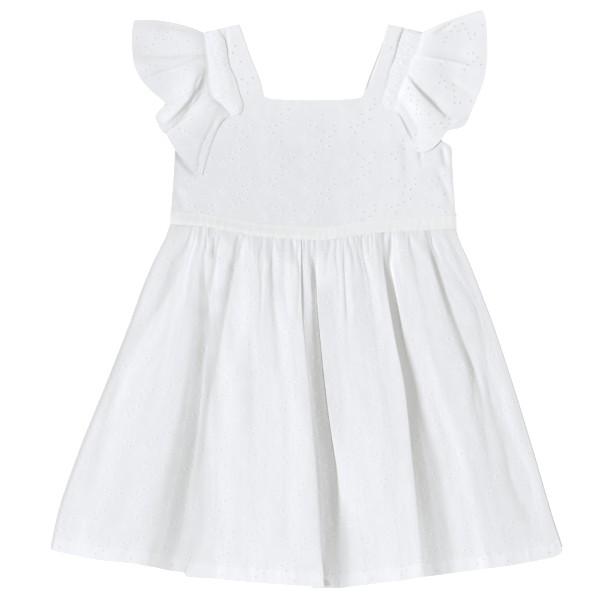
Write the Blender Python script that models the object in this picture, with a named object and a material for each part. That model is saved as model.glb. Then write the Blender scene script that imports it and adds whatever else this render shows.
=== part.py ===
"""A toddler's sleeveless dress of white eyelet cotton, laid flat on its back.

The maker's pieces are a front and a back bodice cut in one with wide shoulder straps, a waistband
strip on each, a gathered front and back skirt, and over each shoulder a flutter sleeve: one gathered
strip whose inner edge is stitched down as a puckered heading, and whose front and back halves lie on
each other. The two back panels lie flat on the ground, and the front ones lie on them in folds.

Every piece is a wall of cloth. Its middle surface is a sheet of rows of points, and a Solidify
modifier gives it its thickness. Tables are in millimetres, x to the right of the centre front, y up
from the waist seam and z up from the ground; Blender's units are metres.
"""

import math
from collections import namedtuple

import bpy

MM = 0.001

WALL = 1.2  # one layer of cloth, with its nap and its own small waviness
BAND_WALL = 1.6  # the waistband is doubled over the seam allowances
GAP = 0.3  # between pieces that touch

BACK_LEVEL = WALL / 2  # middle of a wall that lies on the ground
FRONT_LEVEL = 1.5 * WALL + GAP  # middle of a wall that lies on a back panel
UPPER_LEVEL = 2.5 * WALL + 2 * GAP  # middle of a wall that lies on a front panel

COTTON = ("eyelet_cotton", (0.80, 0.81, 0.82), 0.85)
DOUBLED_COTTON = ("doubled_cotton", (0.83, 0.835, 0.82), 0.85)


def smooth_through(keys, values):
    """A function that passes smoothly through the points, and never past them between two."""
    spans = [b - a for a, b in zip(keys, keys[1:])]
    slopes = [(b - a) / span for a, b, span in zip(values, values[1:], spans)]
    inner = [2 * a * b / (a + b) if a * b > 0 else 0.0 for a, b in zip(slopes, slopes[1:])]
    tangents = [slopes[0], *inner, slopes[-1]]

    def value(key):
        key = min(max(key, keys[0]), keys[-1])
        i = max(n for n in range(len(spans)) if keys[n] <= key)
        s = (key - keys[i]) / spans[i]
        start = values[i] * (1 + 2 * s) * (1 - s) ** 2 + tangents[i] * spans[i] * s * (1 - s) ** 2
        end = values[i + 1] * s * s * (3 - 2 * s) - tangents[i + 1] * spans[i] * s * s * (1 - s)
        return start + end

    return value


def column(table, name):
    return [getattr(row, name) for row in table]


def curve(table, key, name):
    return smooth_through(column(table, key), column(table, name))


def mix(a, b, share):
    return a + (b - a) * share


def steps(count):
    return [i / count for i in range(count + 1)]


# --- Waist seam and waistband ---------------------------------------------------------------------

WaistPoint = namedtuple("WaistPoint", "x y")
WAIST_LINE = [
    WaistPoint(-136, 13.6),
    WaistPoint(-107, 11.5),
    WaistPoint(-79, 7.0),
    WaistPoint(-52, 2.2),
    WaistPoint(-12, -0.9),
    WaistPoint(9, -1.6),
    WaistPoint(29, 1.2),
    WaistPoint(58, 5.0),
    WaistPoint(97, 7.4),
    WaistPoint(136, 9.2),
]
BAND_HEIGHT = 11.0
BACK_SEAMS_HIGHER = 1.5  # so that a gap in the back never lies under one in the front
BAND_COLUMNS = 32
BAND_RISE = 1.6  # the front band arches this far over the layers below it
waist_y = curve(WAIST_LINE, "x", "y")


def side_taper(across, width, roll=14.0):
    """0 at either side seam, rounding up to 1 over a roll of cloth beside it."""
    inside = min(across, 1 - across) * width
    return math.sin(min(inside / roll, 1.0) * math.pi / 2)


def seam_y(x, flat):
    """The top edge of the waistband, on the front or on the flat back."""
    return waist_y(x) + (BACK_SEAMS_HIGHER if flat else 0.0)


def band_rows(flat):
    left, right = WAIST_LINE[0].x, WAIST_LINE[-1].x
    rows = []
    for share in (0.0, 0.5, 1.0):
        row = []
        for across in steps(BAND_COLUMNS):
            x = mix(left, right, across)
            y = seam_y(x, flat) - GAP - share * (BAND_HEIGHT - 2 * GAP)
            arch = BAND_RISE * side_taper(across, right - left)
            row.append((x, y, 0.0 if flat else FRONT_LEVEL + (BAND_WALL - WALL) / 2 + arch))
        rows.append(row)
    return rows


# --- Skirt ----------------------------------------------------------------------------------------

# The outline of the skirt, by the share of the way down from the waistband to the hem.
SkirtLevel = namedtuple("SkirtLevel", "down left right loft")
SKIRT_OUTLINE = [
    SkirtLevel(0.00, -135.6, 135.0, 1.6),
    SkirtLevel(0.05, -141.2, 139.8, 3.2),
    SkirtLevel(0.10, -149.2, 146.8, 5.0),
    SkirtLevel(0.20, -162.4, 159.0, 7.0),
    SkirtLevel(0.30, -173.4, 170.4, 8.5),
    SkirtLevel(0.50, -197.4, 190.6, 10.0),
    SkirtLevel(0.70, -222.2, 209.2, 11.0),
    SkirtLevel(0.90, -243.0, 227.0, 11.5),
    SkirtLevel(1.00, -249.6, 237.0, 11.5),
]
skirt_left = curve(SKIRT_OUTLINE, "down", "left")
skirt_right = curve(SKIRT_OUTLINE, "down", "right")
skirt_loft = curve(SKIRT_OUTLINE, "down", "loft")

# The front skirt's fold lines, from its left side to its right one. waist, middle and hem are the
# share of the way across at those three heights. top, upper, lower and foot are how far the cloth
# rises there, as a share of the loft: 0 rests on the back skirt and 1 is the crest of a fold. hem_y
# is where the line meets the hem, and spans is the number of mesh columns up to the next line.
FoldLine = namedtuple("FoldLine", "name spans waist middle hem top upper lower foot hem_y")
FOLD_LINES = [
    FoldLine("left side seam", 2, 0.000, 0.000, 0.000, 0.00, 0.00, 0.00, 0.00, -305.8),
    FoldLine("left roll", 3, 0.035, 0.018, 0.020, 0.70, 0.50, 0.38, 0.30, -307.9),
    FoldLine("slanting trough", 3, 0.083, 0.042, 0.050, 0.25, 0.25, 0.45, 0.42, -311.0),
    FoldLine("left crest", 3, 0.125, 0.106, 0.120, 0.80, 0.72, 0.62, 0.52, -317.8),
    FoldLine("left fold, outer slope", 2, 0.150, 0.208, 0.200, 0.60, 0.45, 0.42, 0.36, -324.9),
    FoldLine("left fold, floor", 2, 0.164, 0.238, 0.254, 0.20, 0.08, 0.02, 0.02, -327.9),
    FoldLine("left fold, lip", 4, 0.178, 0.247, 0.267, 0.85, 0.66, 0.70, 0.80, -332.7),
    FoldLine("second gather fold", 3, 0.238, 0.270, 0.292, 0.20, 0.34, 0.66, 0.82, -335.0),
    FoldLine("broad crest, left edge", 4, 0.268, 0.330, 0.360, 0.90, 0.86, 0.84, 0.82, -336.7),
    FoldLine("twin gather", 3, 0.315, 0.385, 0.410, 0.55, 0.74, 0.72, 0.72, -338.4),
    FoldLine("third gather fold", 3, 0.357, 0.447, 0.460, 0.20, 0.38, 0.78, 0.80, -339.9),
    FoldLine("broad crest, right edge", 3, 0.410, 0.482, 0.490, 0.85, 0.88, 0.96, 0.96, -340.8),
    FoldLine("centre fold, lip", 3, 0.455, 0.5045, 0.531, 0.85, 0.90, 1.00, 1.00, -341.4),
    FoldLine("centre fold, tucked under", 2, 0.466, 0.503, 0.504, 0.20, 0.12, 0.00, 0.00, -343.2),
    FoldLine("centre fold, floor", 2, 0.487, 0.525, 0.546, 0.75, 0.28, 0.00, 0.00, -343.5),
    FoldLine("centre fold, corner", 2, 0.511, 0.5425, 0.574, 0.15, 0.02, 0.00, 0.00, -343.3),
    FoldLine("centre fold, right lip", 3, 0.523, 0.549, 0.581, 0.85, 0.88, 0.92, 0.92, -342.9),
    FoldLine("middle crest", 4, 0.560, 0.585, 0.620, 0.80, 0.90, 0.92, 0.90, -340.3),
    FoldLine("thin gather", 2, 0.608, 0.612, 0.645, 0.25, 0.52, 0.86, 0.84, -338.7),
    FoldLine("crest beside it", 2, 0.630, 0.635, 0.662, 0.85, 0.80, 0.84, 0.84, -337.5),
    FoldLine("fourth gather fold", 3, 0.6585, 0.673, 0.682, 0.25, 0.48, 0.74, 0.84, -336.2),
    FoldLine("right crest", 3, 0.705, 0.710, 0.709, 0.85, 0.92, 0.96, 0.98, -334.1),
    FoldLine("right fold, lip", 3, 0.739, 0.734, 0.730, 0.80, 0.92, 0.98, 0.98, -332.4),
    FoldLine("right fold, tucked under", 2, 0.750, 0.7335, 0.727, 0.15, 0.04, 0.00, 0.00, -332.6),
    FoldLine("right fold, corner", 2, 0.768, 0.750, 0.750, 0.15, 0.06, 0.06, 0.10, -330.8),
    FoldLine("right fold, outer slope", 3, 0.778, 0.758, 0.790, 0.85, 0.86, 0.58, 0.50, -328.3),
    FoldLine("outer crest", 3, 0.806, 0.800, 0.828, 0.85, 0.84, 0.78, 0.66, -326.6),
    FoldLine("fifth gather fold", 2, 0.834, 0.835, 0.860, 0.35, 0.66, 0.66, 0.58, -324.8),
    FoldLine("crest over the long fold", 3, 0.862, 0.872, 0.880, 0.85, 0.76, 0.60, 0.50, -323.2),
    FoldLine("long fold", 2, 0.890, 0.902, 0.908, 0.15, 0.12, 0.34, 0.36, -321.0),
    FoldLine("long fold, lip", 3, 0.910, 0.917, 0.926, 0.80, 0.60, 0.56, 0.50, -319.7),
    FoldLine("side trough", 2, 0.945, 0.952, 0.955, 0.40, 0.30, 0.44, 0.40, -317.5),
    FoldLine("right roll", 2, 0.970, 0.982, 0.987, 0.60, 0.45, 0.38, 0.30, -313.6),
    FoldLine("right side seam", 0, 1.000, 1.000, 1.000, 0.00, 0.00, 0.00, 0.00, -308.4),
]
LINE_COLUMNS = [sum(column(FOLD_LINES[:i], "spans")) for i in range(len(FOLD_LINES))]
ACROSS_AT = (0.0, 0.5, 1.0)
RISE_AT = (0.0, 0.3, 0.65, 1.0)

# Each gather is four half columns wide at the seam, where the mesh has twice as many columns.
GATHER_HEIGHT = 0.75
GATHER_REACH = (0.09, 0.22)  # the shortest and the longest gather, as a share of the way down
GATHER_UNEVENNESS = 2.4
FINE_ROWS = (0.0, 0.03, 0.07, 0.12)
COARSE_ROWS = (0.18, 0.26, 0.36, 0.47, 0.58, 0.69, 0.80, 0.90, 0.965, 1.0)
BACK_SKIRT_ROWS = (0.0, 0.05, 0.1, 0.2, 0.3, 0.45, 0.6, 0.75, 0.88, 0.96, 1.0)
BACK_SKIRT_COLUMNS = 24
BACK_HEM_HIDDEN = 4.0  # the back hem lies this far above the front one


def gather(position, down):
    """The height of the small gathers at the waist, which die away at uneven lengths."""
    wave = math.cos(position * math.pi)
    unevenness = abs(math.sin(GATHER_UNEVENNESS * round(position / 2)))
    reach = mix(*GATHER_REACH, unevenness)
    fade = max(0.0, 1 - down / reach)
    return GATHER_HEIGHT * (0.6 + 0.4 * unevenness) * wave * fade


def skirt_row(down, positions):
    """One row of the front skirt, at column positions counted along the fold lines."""
    across_here = [
        smooth_through(ACROSS_AT, (line.waist, line.middle, line.hem))(down) for line in FOLD_LINES
    ]
    rise_here = [
        smooth_through(RISE_AT, (line.top, line.upper, line.lower, line.foot))(down)
        for line in FOLD_LINES
    ]
    across = smooth_through(LINE_COLUMNS, across_here)
    across_waist = smooth_through(LINE_COLUMNS, column(FOLD_LINES, "waist"))
    rise = smooth_through(LINE_COLUMNS, rise_here)
    hem_y = smooth_through(LINE_COLUMNS, column(FOLD_LINES, "hem_y"))
    left, right, loft = skirt_left(down), skirt_right(down), skirt_loft(down)
    row = []
    for position in positions:
        x = mix(left, right, across(position))
        waist_x = mix(skirt_left(0), skirt_right(0), across_waist(position))
        top = waist_y(waist_x) - BAND_HEIGHT - GAP
        y = mix(top, hem_y(position), down)
        taper = side_taper(across(position), right - left, roll=8.0)
        z = FRONT_LEVEL + loft * rise(position)
        z += (GATHER_HEIGHT + gather(position, down)) * taper * max(0.0, 1 - down / GATHER_REACH[1])
        row.append((x, y, z))
    return row


def front_skirt_rows():
    last = LINE_COLUMNS[-1]
    fine = [i / 2 for i in range(2 * last + 1)]
    coarse = list(range(last + 1))
    return [skirt_row(down, fine) for down in FINE_ROWS] + [
        skirt_row(down, coarse) for down in COARSE_ROWS
    ]


def back_skirt_rows():
    hem_y = smooth_through(column(FOLD_LINES[:1] + FOLD_LINES[-1:], "hem"), column(FOLD_LINES[:1] + FOLD_LINES[-1:], "hem_y"))
    hem_sag = 34.0  # the middle of the hem hangs lower than its corners
    rows = []
    for down in BACK_SKIRT_ROWS:
        row = []
        for across in steps(BACK_SKIRT_COLUMNS):
            x = mix(skirt_left(down), skirt_right(down), across)
            waist_x = mix(skirt_left(0), skirt_right(0), across)
            top = seam_y(waist_x, True) - BAND_HEIGHT - GAP
            sag = hem_sag * math.sin(math.pi * across) ** 0.85
            bottom = hem_y(across) - sag + BACK_HEM_HIDDEN
            row.append((x, mix(top, bottom, down), 0.0))
        rows.append(row)
    return rows


# --- Bodice, cut in one with the shoulder straps ---------------------------------------------------

# Half the width of the bodice by height: side seam, underarm corner, then the armhole's curve.
BodiceLevel = namedtuple("BodiceLevel", "height half_width")
BODICE_LEVELS = [
    BodiceLevel(0.0, 135.2),
    BodiceLevel(18.0, 134.2),
    BodiceLevel(36.0, 133.0),
    BodiceLevel(54.0, 132.0),
    BodiceLevel(71.5, 131.4),
    BodiceLevel(75.5, 129.8),
    BodiceLevel(78.8, 124.8),
    BodiceLevel(83.0, 118.2),
    BodiceLevel(89.5, 111.0),
    BodiceLevel(99.0, 104.4),
    BodiceLevel(110.0, 99.8),
    BodiceLevel(123.5, 97.2),
]
NECK_HEIGHT = 123.5
NECK_LEFT, NECK_RIGHT = -47.1, 45.6
NECK_DIP = 3.6  # the neckline sags this far between its corners
BACK_NECK_LOWER = 5.0

# The straps' edges from the neckline up to the fold over the shoulder, for the right side.
StrapLevel = namedtuple("StrapLevel", "height outer inner")
STRAP_LEVELS = [
    StrapLevel(0.00, 97.2, 46.3),
    StrapLevel(0.20, 96.8, 50.2),
    StrapLevel(0.55, 99.2, 59.8),
    StrapLevel(0.85, 101.6, 67.0),
    StrapLevel(0.97, 102.6, 69.9),
    StrapLevel(1.00, 102.4, 70.9),
]
SHOULDER_OUTER_Y, SHOULDER_INNER_Y = 184.8, 192.0
STRAP_ROWS = (0.0, 0.12, 0.3, 0.5, 0.7, 0.88, 0.97, 1.0)
STRAP_SPANS = 5
NECK_SPANS = 10
BACK_STRAP_SHOWS = 0.9  # the back strap's inner edge shows beside the front one

# Soft creases in the front bodice: a trough from one point to another.
Crease = namedtuple("Crease", "x1 y1 x2 y2 depth width")
BODICE_CREASES = [
    Crease(88, 78, 86, 18, 1.0, 9.0),
    Crease(103, 70, 102, 58, 0.8, 5.0),
    Crease(122, 74, 126, 52, 1.1, 5.0),
    Crease(-104, 60, -118, 22, 0.7, 8.0),
    Crease(-20, 96, -6, 30, 0.6, 14.0),
]
BODICE_PUFF = 2.0

armhole = curve(BODICE_LEVELS, "height", "half_width")
strap_outer = curve(STRAP_LEVELS, "height", "outer")
strap_inner = curve(STRAP_LEVELS, "height", "inner")


def crease_depth(x, y, creases):
    """How far the troughs lower the cloth at a point."""
    total = 0.0
    for crease in creases:
        run_x, run_y = crease.x2 - crease.x1, crease.y2 - crease.y1
        along = ((x - crease.x1) * run_x + (y - crease.y1) * run_y) / (run_x**2 + run_y**2)
        along = min(max(along, 0.0), 1.0)
        away = math.hypot(x - crease.x1 - along * run_x, y - crease.y1 - along * run_y)
        total += crease.depth * math.exp(-((away / crease.width) ** 2))
    return total


def bodice_height(x, y):
    """The middle of the front bodice's wall above the ground."""
    if y < NECK_HEIGHT:
        half = armhole(y)
        edge = min(half - abs(x), 30.0) / 30.0
        neck = min((NECK_HEIGHT - y) / 20.0, 1.0)
        puff = BODICE_PUFF * math.sin(max(edge, 0.0) * math.pi / 2) * mix(0.35, 1.0, neck)
    else:
        puff = BODICE_PUFF * 0.35 * min((SHOULDER_OUTER_Y - y) / 12.0, 1.0)
    return FRONT_LEVEL + max(0.0, puff - crease_depth(x, y, BODICE_CREASES))


def bodice_shares():
    """Where the columns lie across the bodice: left strap, neckline, right strap."""
    half = armhole(NECK_HEIGHT)
    left = (NECK_LEFT + half) / (2 * half)
    right = (NECK_RIGHT + half) / (2 * half)
    return (
        [left * s for s in steps(STRAP_SPANS)][:-1]
        + [mix(left, right, s) for s in steps(NECK_SPANS)][:-1]
        + [mix(right, 1.0, s) for s in steps(STRAP_SPANS)]
    )


def bodice_panel(name, flat, neck_lower, strap_shows):
    """A bodice panel with its two straps, as one open sheet in its place."""
    shares = bodice_shares()
    points, faces = [], []

    def add_row(row):
        start = len(points)
        points.extend((x, y, 0.0 if flat else bodice_height(x, y)) for x, y in row)
        return list(range(start, start + len(row)))

    def join(upper, lower):
        for i in range(len(upper) - 1):
            faces.append((lower[i], lower[i + 1], upper[i + 1], upper[i]))

    below = None
    for level in BODICE_LEVELS:
        up = level.height / NECK_HEIGHT
        row = []
        for share in shares:
            x = mix(-level.half_width, level.half_width, share)
            y = level.height + seam_y(x, flat) * (1 - up) ** 2
            neck = (x - NECK_LEFT) / (NECK_RIGHT - NECK_LEFT)
            if 0 < neck < 1:
                dip = NECK_DIP * (4 * neck * (1 - neck)) ** 0.35 + neck_lower * min(
                    1.0, 6 * neck * (1 - neck)
                )
                y -= dip * up**4
            row.append((x, y))
        here = add_row(row)
        if below:
            join(here, below)
        below = here

    for side, base in ((-1, below[: STRAP_SPANS + 1]), (1, below[-STRAP_SPANS - 1 :])):
        shows = strap_shows if side > 0 else strap_shows * 0.5
        lower = base
        for up in STRAP_ROWS[1:]:
            row = []
            for share in steps(STRAP_SPANS):
                inward = share if side < 0 else 1 - share
                inner_x = strap_inner(up) - shows * min(1.0, 4 * up)
                top = mix(SHOULDER_OUTER_Y, SHOULDER_INNER_Y, inward)
                x = side * mix(strap_outer(up), inner_x, inward)
                row.append((x, mix(NECK_HEIGHT, top, up)))
            here = add_row(row)
            join(here, lower)
            lower = here
    return make_sheet(name, points, faces, WALL, COTTON, rests=flat)


# --- Flutter sleeves ------------------------------------------------------------------------------

# Lines that run across a flutter from its stitched seam to its hem, from the shoulder down to its
# lower end. bow bends a line to its upper side. middle and foot are how far the cloth rises half way
# and at the hem, and over is what the hem lies above there.
Ray = namedtuple("Ray", "name seam_x seam_y hem_x hem_y bow middle foot over")
LEFT_FLUTTER = [
    Ray("shoulder fold", -103.5, 183.4, -170.6, 195.8, 4.6, 0.0, 0.0, "ground"),
    Ray("upper panel", -102.8, 175.0, -172.4, 182.0, 3.0, 3.6, 4.0, "ground"),
    Ray("upper trough", -101.8, 166.0, -172.0, 167.0, 0.0, 2.6, 2.0, "ground"),
    Ray("first crest", -100.8, 160.0, -171.0, 156.5, 0.0, 5.6, 5.4, "ground"),
    Ray("below the crest", -99.8, 153.0, -166.2, 143.4, 0.0, 3.4, 2.0, "ground"),
    Ray("upper lobe", -99.5, 145.5, -155.4, 129.4, 0.0, 4.6, 3.6, "ground"),
    Ray("lobe lip", -99.3, 139.0, -141.4, 116.4, 0.0, 6.4, 5.6, "ground"),
    Ray("lobe, tucked under", -98.6, 132.5, -147.0, 109.5, 0.0, 1.6, 1.6, "ground"),
    Ray("deep fold", -97.0, 126.0, -150.2, 104.0, -2.0, 0.0, 0.0, "bodice"),
    Ray("deep fold, lower side", -93.0, 119.8, -143.4, 89.4, 4.0, 0.2, 0.2, "bodice"),
    Ray("lower lobe, crest", -87.5, 116.0, -141.0, 88.0, 5.0, 5.6, 4.6, "bodice"),
    Ray("lower lobe", -83.5, 112.0, -129.6, 70.4, 1.5, 4.2, 2.6, "bodice"),
    Ray("small trough", -80.6, 108.6, -117.6, 58.4, -1.5, 2.4, 1.2, "bodice"),
    Ray("end crest", -78.6, 106.0, -109.4, 50.0, -2.5, 3.8, 2.0, "bodice"),
    Ray("lower end", -79.6, 103.0, -105.0, 48.6, -3.0, 0.0, 0.0, "bodice"),
]
RIGHT_FLUTTER = [
    Ray("shoulder fold", 102.6, 184.2, 160.6, 206.2, 4.8, 0.0, 0.0, "ground"),
    Ray("upper panel", 101.6, 178.6, 163.8, 197.0, 3.0, 3.2, 3.6, "ground"),
    Ray("upper trough", 99.8, 171.0, 165.2, 178.6, 0.0, 2.4, 2.4, "ground"),
    Ray("above the crest", 97.0, 164.4, 165.4, 163.0, 0.0, 3.6, 3.4, "ground"),
    Ray("first crest", 93.1, 157.0, 163.4, 145.0, 6.0, 6.8, 5.2, "ground"),
    Ray("below the crest", 91.2, 151.0, 158.6, 128.5, 4.0, 4.6, 3.4, "ground"),
    Ray("broad lobe", 89.6, 146.6, 151.2, 111.0, 2.0, 5.0, 4.4, "ground"),
    Ray("lobe lip", 88.4, 143.0, 147.2, 101.4, 2.0, 5.2, 4.6, "ground"),
    Ray("deep fold", 86.4, 138.6, 143.4, 95.2, 0.6, 0.2, 2.6, "bodice"),
    Ray("lower crest", 84.0, 132.0, 137.6, 92.6, 0.0, 4.4, 4.4, "bodice"),
    Ray("lower lobe", 82.2, 127.0, 128.4, 90.6, 0.0, 3.8, 2.8, "bodice"),
    Ray("notch at the armhole", 81.4, 122.4, 121.4, 82.0, 0.0, 3.2, 2.0, "bodice"),
    Ray("lower panel", 80.6, 118.2, 112.6, 73.4, 0.0, 2.8, 1.2, "bodice"),
    Ray("pointed tip", 79.6, 114.4, 101.8, 69.6, 1.0, 1.8, 0.4, "bodice"),
    Ray("lower end", 77.4, 110.6, 93.6, 76.6, 3.0, 0.0, 0.0, "bodice"),
]
RAY_SPANS = 4  # mesh columns from one ray to the next
FLUTTER_ROWS = (0.0, 0.1, 0.25, 0.45, 0.65, 0.85, 1.0)
SEAM_LEVEL = UPPER_LEVEL + 0.5 * BODICE_PUFF + 3 * GAP
FLUTTER_CLEARANCE = GAP
GATHER_RISE = 0.45  # the small gathers on both sides of the seam
GATHER_FADE = 0.4  # the share of the way to the hem that they reach

# The free edge of the puckered heading, where each ray, counted from the shoulder, would meet it.
FreeEdge = namedtuple("FreeEdge", "ray x y")
LEFT_FREE_EDGE = [
    FreeEdge(0, -90.0, 188.4),
    FreeEdge(1, -84.4, 178.0),
    FreeEdge(2, -82.2, 168.0),
    FreeEdge(4, -79.8, 153.0),
    FreeEdge(6, -74.2, 141.0),
    FreeEdge(8, -70.2, 126.5),
    FreeEdge(11, -66.8, 115.0),
    FreeEdge(13, -67.6, 109.0),
    FreeEdge(14, -71.6, 105.6),
]
RIGHT_FREE_EDGE = [
    FreeEdge(0, 86.2, 188.6),
    FreeEdge(2, 81.2, 173.5),
    FreeEdge(4, 77.2, 158.4),
    FreeEdge(6, 72.6, 147.5),
    FreeEdge(8, 71.2, 137.0),
    FreeEdge(10, 66.8, 126.5),
    FreeEdge(12, 65.0, 118.5),
    FreeEdge(13, 66.2, 114.0),
    FreeEdge(14, 70.0, 110.0),
]
HEADING_ROWS = (1.0, 0.7, 0.3)  # shares of the way from the seam to the free edge
HEADING_PUFF = (1.1, 2.1, 1.6)

# The back half lies flat on the ground under the front one, from the shoulder fold down.
BackRay = namedtuple("BackRay", "seam_x seam_y hem_x hem_y")
LEFT_BACK_RAYS = [
    BackRay(-103.4, 168.0, -168.6, 168.0),
    BackRay(-102.0, 156.0, -164.0, 146.0),
    BackRay(-100.6, 142.0, -149.0, 128.0),
    BackRay(-99.2, 124.0, -137.0, 114.0),
]
RIGHT_BACK_RAYS = [
    BackRay(103.2, 170.0, 162.0, 176.0),
    BackRay(101.6, 158.0, 161.0, 152.0),
    BackRay(100.2, 142.0, 152.0, 122.0),
    BackRay(99.0, 124.0, 140.0, 100.0),
]
BACK_RAY_SPANS = 3
FOLD_STEPS = 6  # faces round the shoulder fold


def ray_lines(rays, names):
    places = list(range(len(rays)))
    return {name: smooth_through(places, column(rays, name)) for name in names}


def sleeve_front_rows(rays, free_edge):
    """The front half's rows, from the heading's free edge over the seam to the hem."""
    lines = ray_lines(rays, ("seam_x", "seam_y", "hem_x", "hem_y", "bow", "middle", "foot"))
    levels = {"ground": FRONT_LEVEL, "bodice": UPPER_LEVEL + BODICE_PUFF}
    places = list(range(len(rays)))
    lines["level"] = smooth_through(places, [levels[ray.over] for ray in rays])
    lines["free_x"] = curve(free_edge, "ray", "x")
    lines["free_y"] = curve(free_edge, "ray", "y")
    last = (len(rays) - 1) * RAY_SPANS
    columns = [{name: line(i / RAY_SPANS) for name, line in lines.items()} for i in range(last + 1)]
    heading, flutter = [], []
    for share, puff in zip(HEADING_ROWS, HEADING_PUFF):
        row = []
        for i, at in enumerate(columns):
            x = mix(at["seam_x"], at["free_x"], share)
            y = mix(at["seam_y"], at["free_y"], share)
            ends = math.sin(min(i, last - i, 3) / 3 * math.pi / 2)
            row.append((x, y, SEAM_LEVEL + (puff + GATHER_RISE * (-1) ** i) * ends))
        heading.append(row)
    for out in FLUTTER_ROWS:
        row = []
        for i, at in enumerate(columns):
            x = mix(at["seam_x"], at["hem_x"], out)
            y = mix(at["seam_y"], at["hem_y"], out) + at["bow"] * 4 * out * (1 - out)
            rise = smooth_through((0.0, 0.5, 1.0), (0.0, at["middle"], at["foot"]))(out)
            fade = max(0.0, 1 - out / GATHER_FADE) * min(1, i, last - i)
            level = mix(SEAM_LEVEL, at["level"] + FLUTTER_CLEARANCE, out**1.5)
            row.append((x, y, level + rise + GATHER_RISE * (-1) ** i * fade))
        flutter.append(row)
    return heading, flutter


def sleeve(name, rays, free_edge, back_rays):
    """One strip: its front half with the heading, the fold over the shoulder and its back half."""
    heading, flutter = sleeve_front_rows(rays, free_edge)
    back_lines = ray_lines(back_rays, BackRay._fields)
    back_places = [i / BACK_RAY_SPANS for i in range((len(back_rays) - 1) * BACK_RAY_SPANS + 1)]
    ray = rays[0]
    length = math.hypot(ray.hem_x - ray.seam_x, ray.hem_y - ray.seam_y)
    up_x = -abs(ray.hem_y - ray.seam_y) / length * math.copysign(1.0, ray.seam_x)
    up_y = abs(ray.hem_x - ray.seam_x) / length
    strips = [list(reversed(row)) for row in heading]
    for out, row in zip(FLUTTER_ROWS, flutter):
        radius = (row[0][2] - BACK_LEVEL) / 2
        drawn_in = [
            (
                x - up_x * radius * max(0.0, 1 - i / RAY_SPANS),
                y - up_y * radius * max(0.0, 1 - i / RAY_SPANS),
                z,
            )
            for i, (x, y, z) in enumerate(row)
        ]
        x, y, z = drawn_in[0]
        fold = []
        for step in range(1, FOLD_STEPS + 1):
            turn = math.pi * step / FOLD_STEPS
            bulge = radius * math.sin(turn)
            fold.append((x + up_x * bulge, y + up_y * bulge, z - radius * (1 - math.cos(turn))))
        back = [
            (
                mix(back_lines["seam_x"](place), back_lines["hem_x"](place), out),
                mix(back_lines["seam_y"](place), back_lines["hem_y"](place), out),
                BACK_LEVEL,
            )
            for place in back_places
        ]
        strips.append(list(reversed(drawn_in)) + fold + back)
    points, numbers = [], []
    for row in strips:
        numbers.append(list(range(len(points), len(points) + len(row))))
        points.extend(row)
    faces = []
    for upper, lower in zip(numbers, numbers[1:]):
        faces += faces_between(upper, lower[: len(upper)])
    return make_sheet(name, points, faces, WALL, COTTON)


# --- Meshes ---------------------------------------------------------------------------------------


def faces_between(upper, lower):
    """Faces that join two rows of point numbers. The lower row may have half as many columns."""
    if len(upper) == len(lower):
        return [
            (lower[i], lower[i + 1], upper[i + 1], upper[i]) for i in range(len(upper) - 1)
        ]
    faces = []
    for i in range(len(lower) - 1):
        start, middle, end = upper[2 * i : 2 * i + 3]
        faces += [
            (lower[i], middle, start),
            (lower[i], lower[i + 1], middle),
            (lower[i + 1], end, middle),
        ]
    return faces


def cotton_material(finish):
    name, colour, roughness = finish
    material = bpy.data.materials.get(name) or bpy.data.materials.new(name)
    material.use_nodes = True
    shader = material.node_tree.nodes["Principled BSDF"]
    shader.inputs["Base Color"].default_value = (*colour, 1.0)
    shader.inputs["Roughness"].default_value = roughness
    shader.inputs["Metallic"].default_value = 0.0
    return material


def make_sheet(name, points, faces, thickness, finish, rests=False):
    """A wall of cloth: an open sheet, thickened about itself, or upwards where it rests."""
    mesh = bpy.data.meshes.new(name)
    mesh.from_pydata([(x * MM, y * MM, z * MM) for x, y, z in points], [], faces)
    mesh.validate()
    if mesh.polygons[0].normal.z < 0:
        mesh.flip_normals()
    mesh.materials.append(cotton_material(finish))
    mesh.shade_smooth()
    wall = bpy.data.objects.new(name, mesh)
    bpy.context.scene.collection.objects.link(wall)
    solidify = wall.modifiers.new("cloth", "SOLIDIFY")
    solidify.thickness = thickness * MM
    solidify.offset = 1.0 if rests else 0.0
    solidify.use_rim = True
    return wall


def sheet_of_rows(name, rows, thickness=WALL, finish=COTTON, rests=False):
    points, numbers = [], []
    for row in rows:
        numbers.append(list(range(len(points), len(points) + len(row))))
        points.extend(row)
    faces = [face for pair in zip(numbers, numbers[1:]) for face in faces_between(*pair)]
    return make_sheet(name, points, faces, thickness, finish, rests)


def centre_on_origin(pieces):
    """Moves all the pieces so that the middle of their footprint is the origin."""
    corners = [vertex.co for piece in pieces for vertex in piece.data.vertices]
    half = {
        axis: (min(c[axis] for c in corners) + max(c[axis] for c in corners)) / 2
        for axis in (0, 1)
    }
    for piece in pieces:
        for vertex in piece.data.vertices:
            vertex.co.x -= half[0]
            vertex.co.y -= half[1]


def main():
    for item in list(bpy.data.objects):
        bpy.data.objects.remove(item)
    pieces = [
        sheet_of_rows("skirt_back", back_skirt_rows(), rests=True),
        sheet_of_rows("skirt_front", front_skirt_rows()),
        sheet_of_rows("waistband_back", band_rows(flat=True), WALL, DOUBLED_COTTON, rests=True),
        sheet_of_rows("waistband_front", band_rows(flat=False), BAND_WALL, DOUBLED_COTTON),
        bodice_panel("bodice_back", True, BACK_NECK_LOWER, BACK_STRAP_SHOWS),
        bodice_panel("bodice_front", False, 0.0, 0.0),
        sleeve("sleeve_left", LEFT_FLUTTER, LEFT_FREE_EDGE, LEFT_BACK_RAYS),
        sleeve("sleeve_right", RIGHT_FLUTTER, RIGHT_FREE_EDGE, RIGHT_BACK_RAYS),
    ]
    centre_on_origin(pieces)


main()
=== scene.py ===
"""The finished look of a toddler's eyelet cotton dress that lies flat on its back."""

import math
from collections import namedtuple

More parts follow.
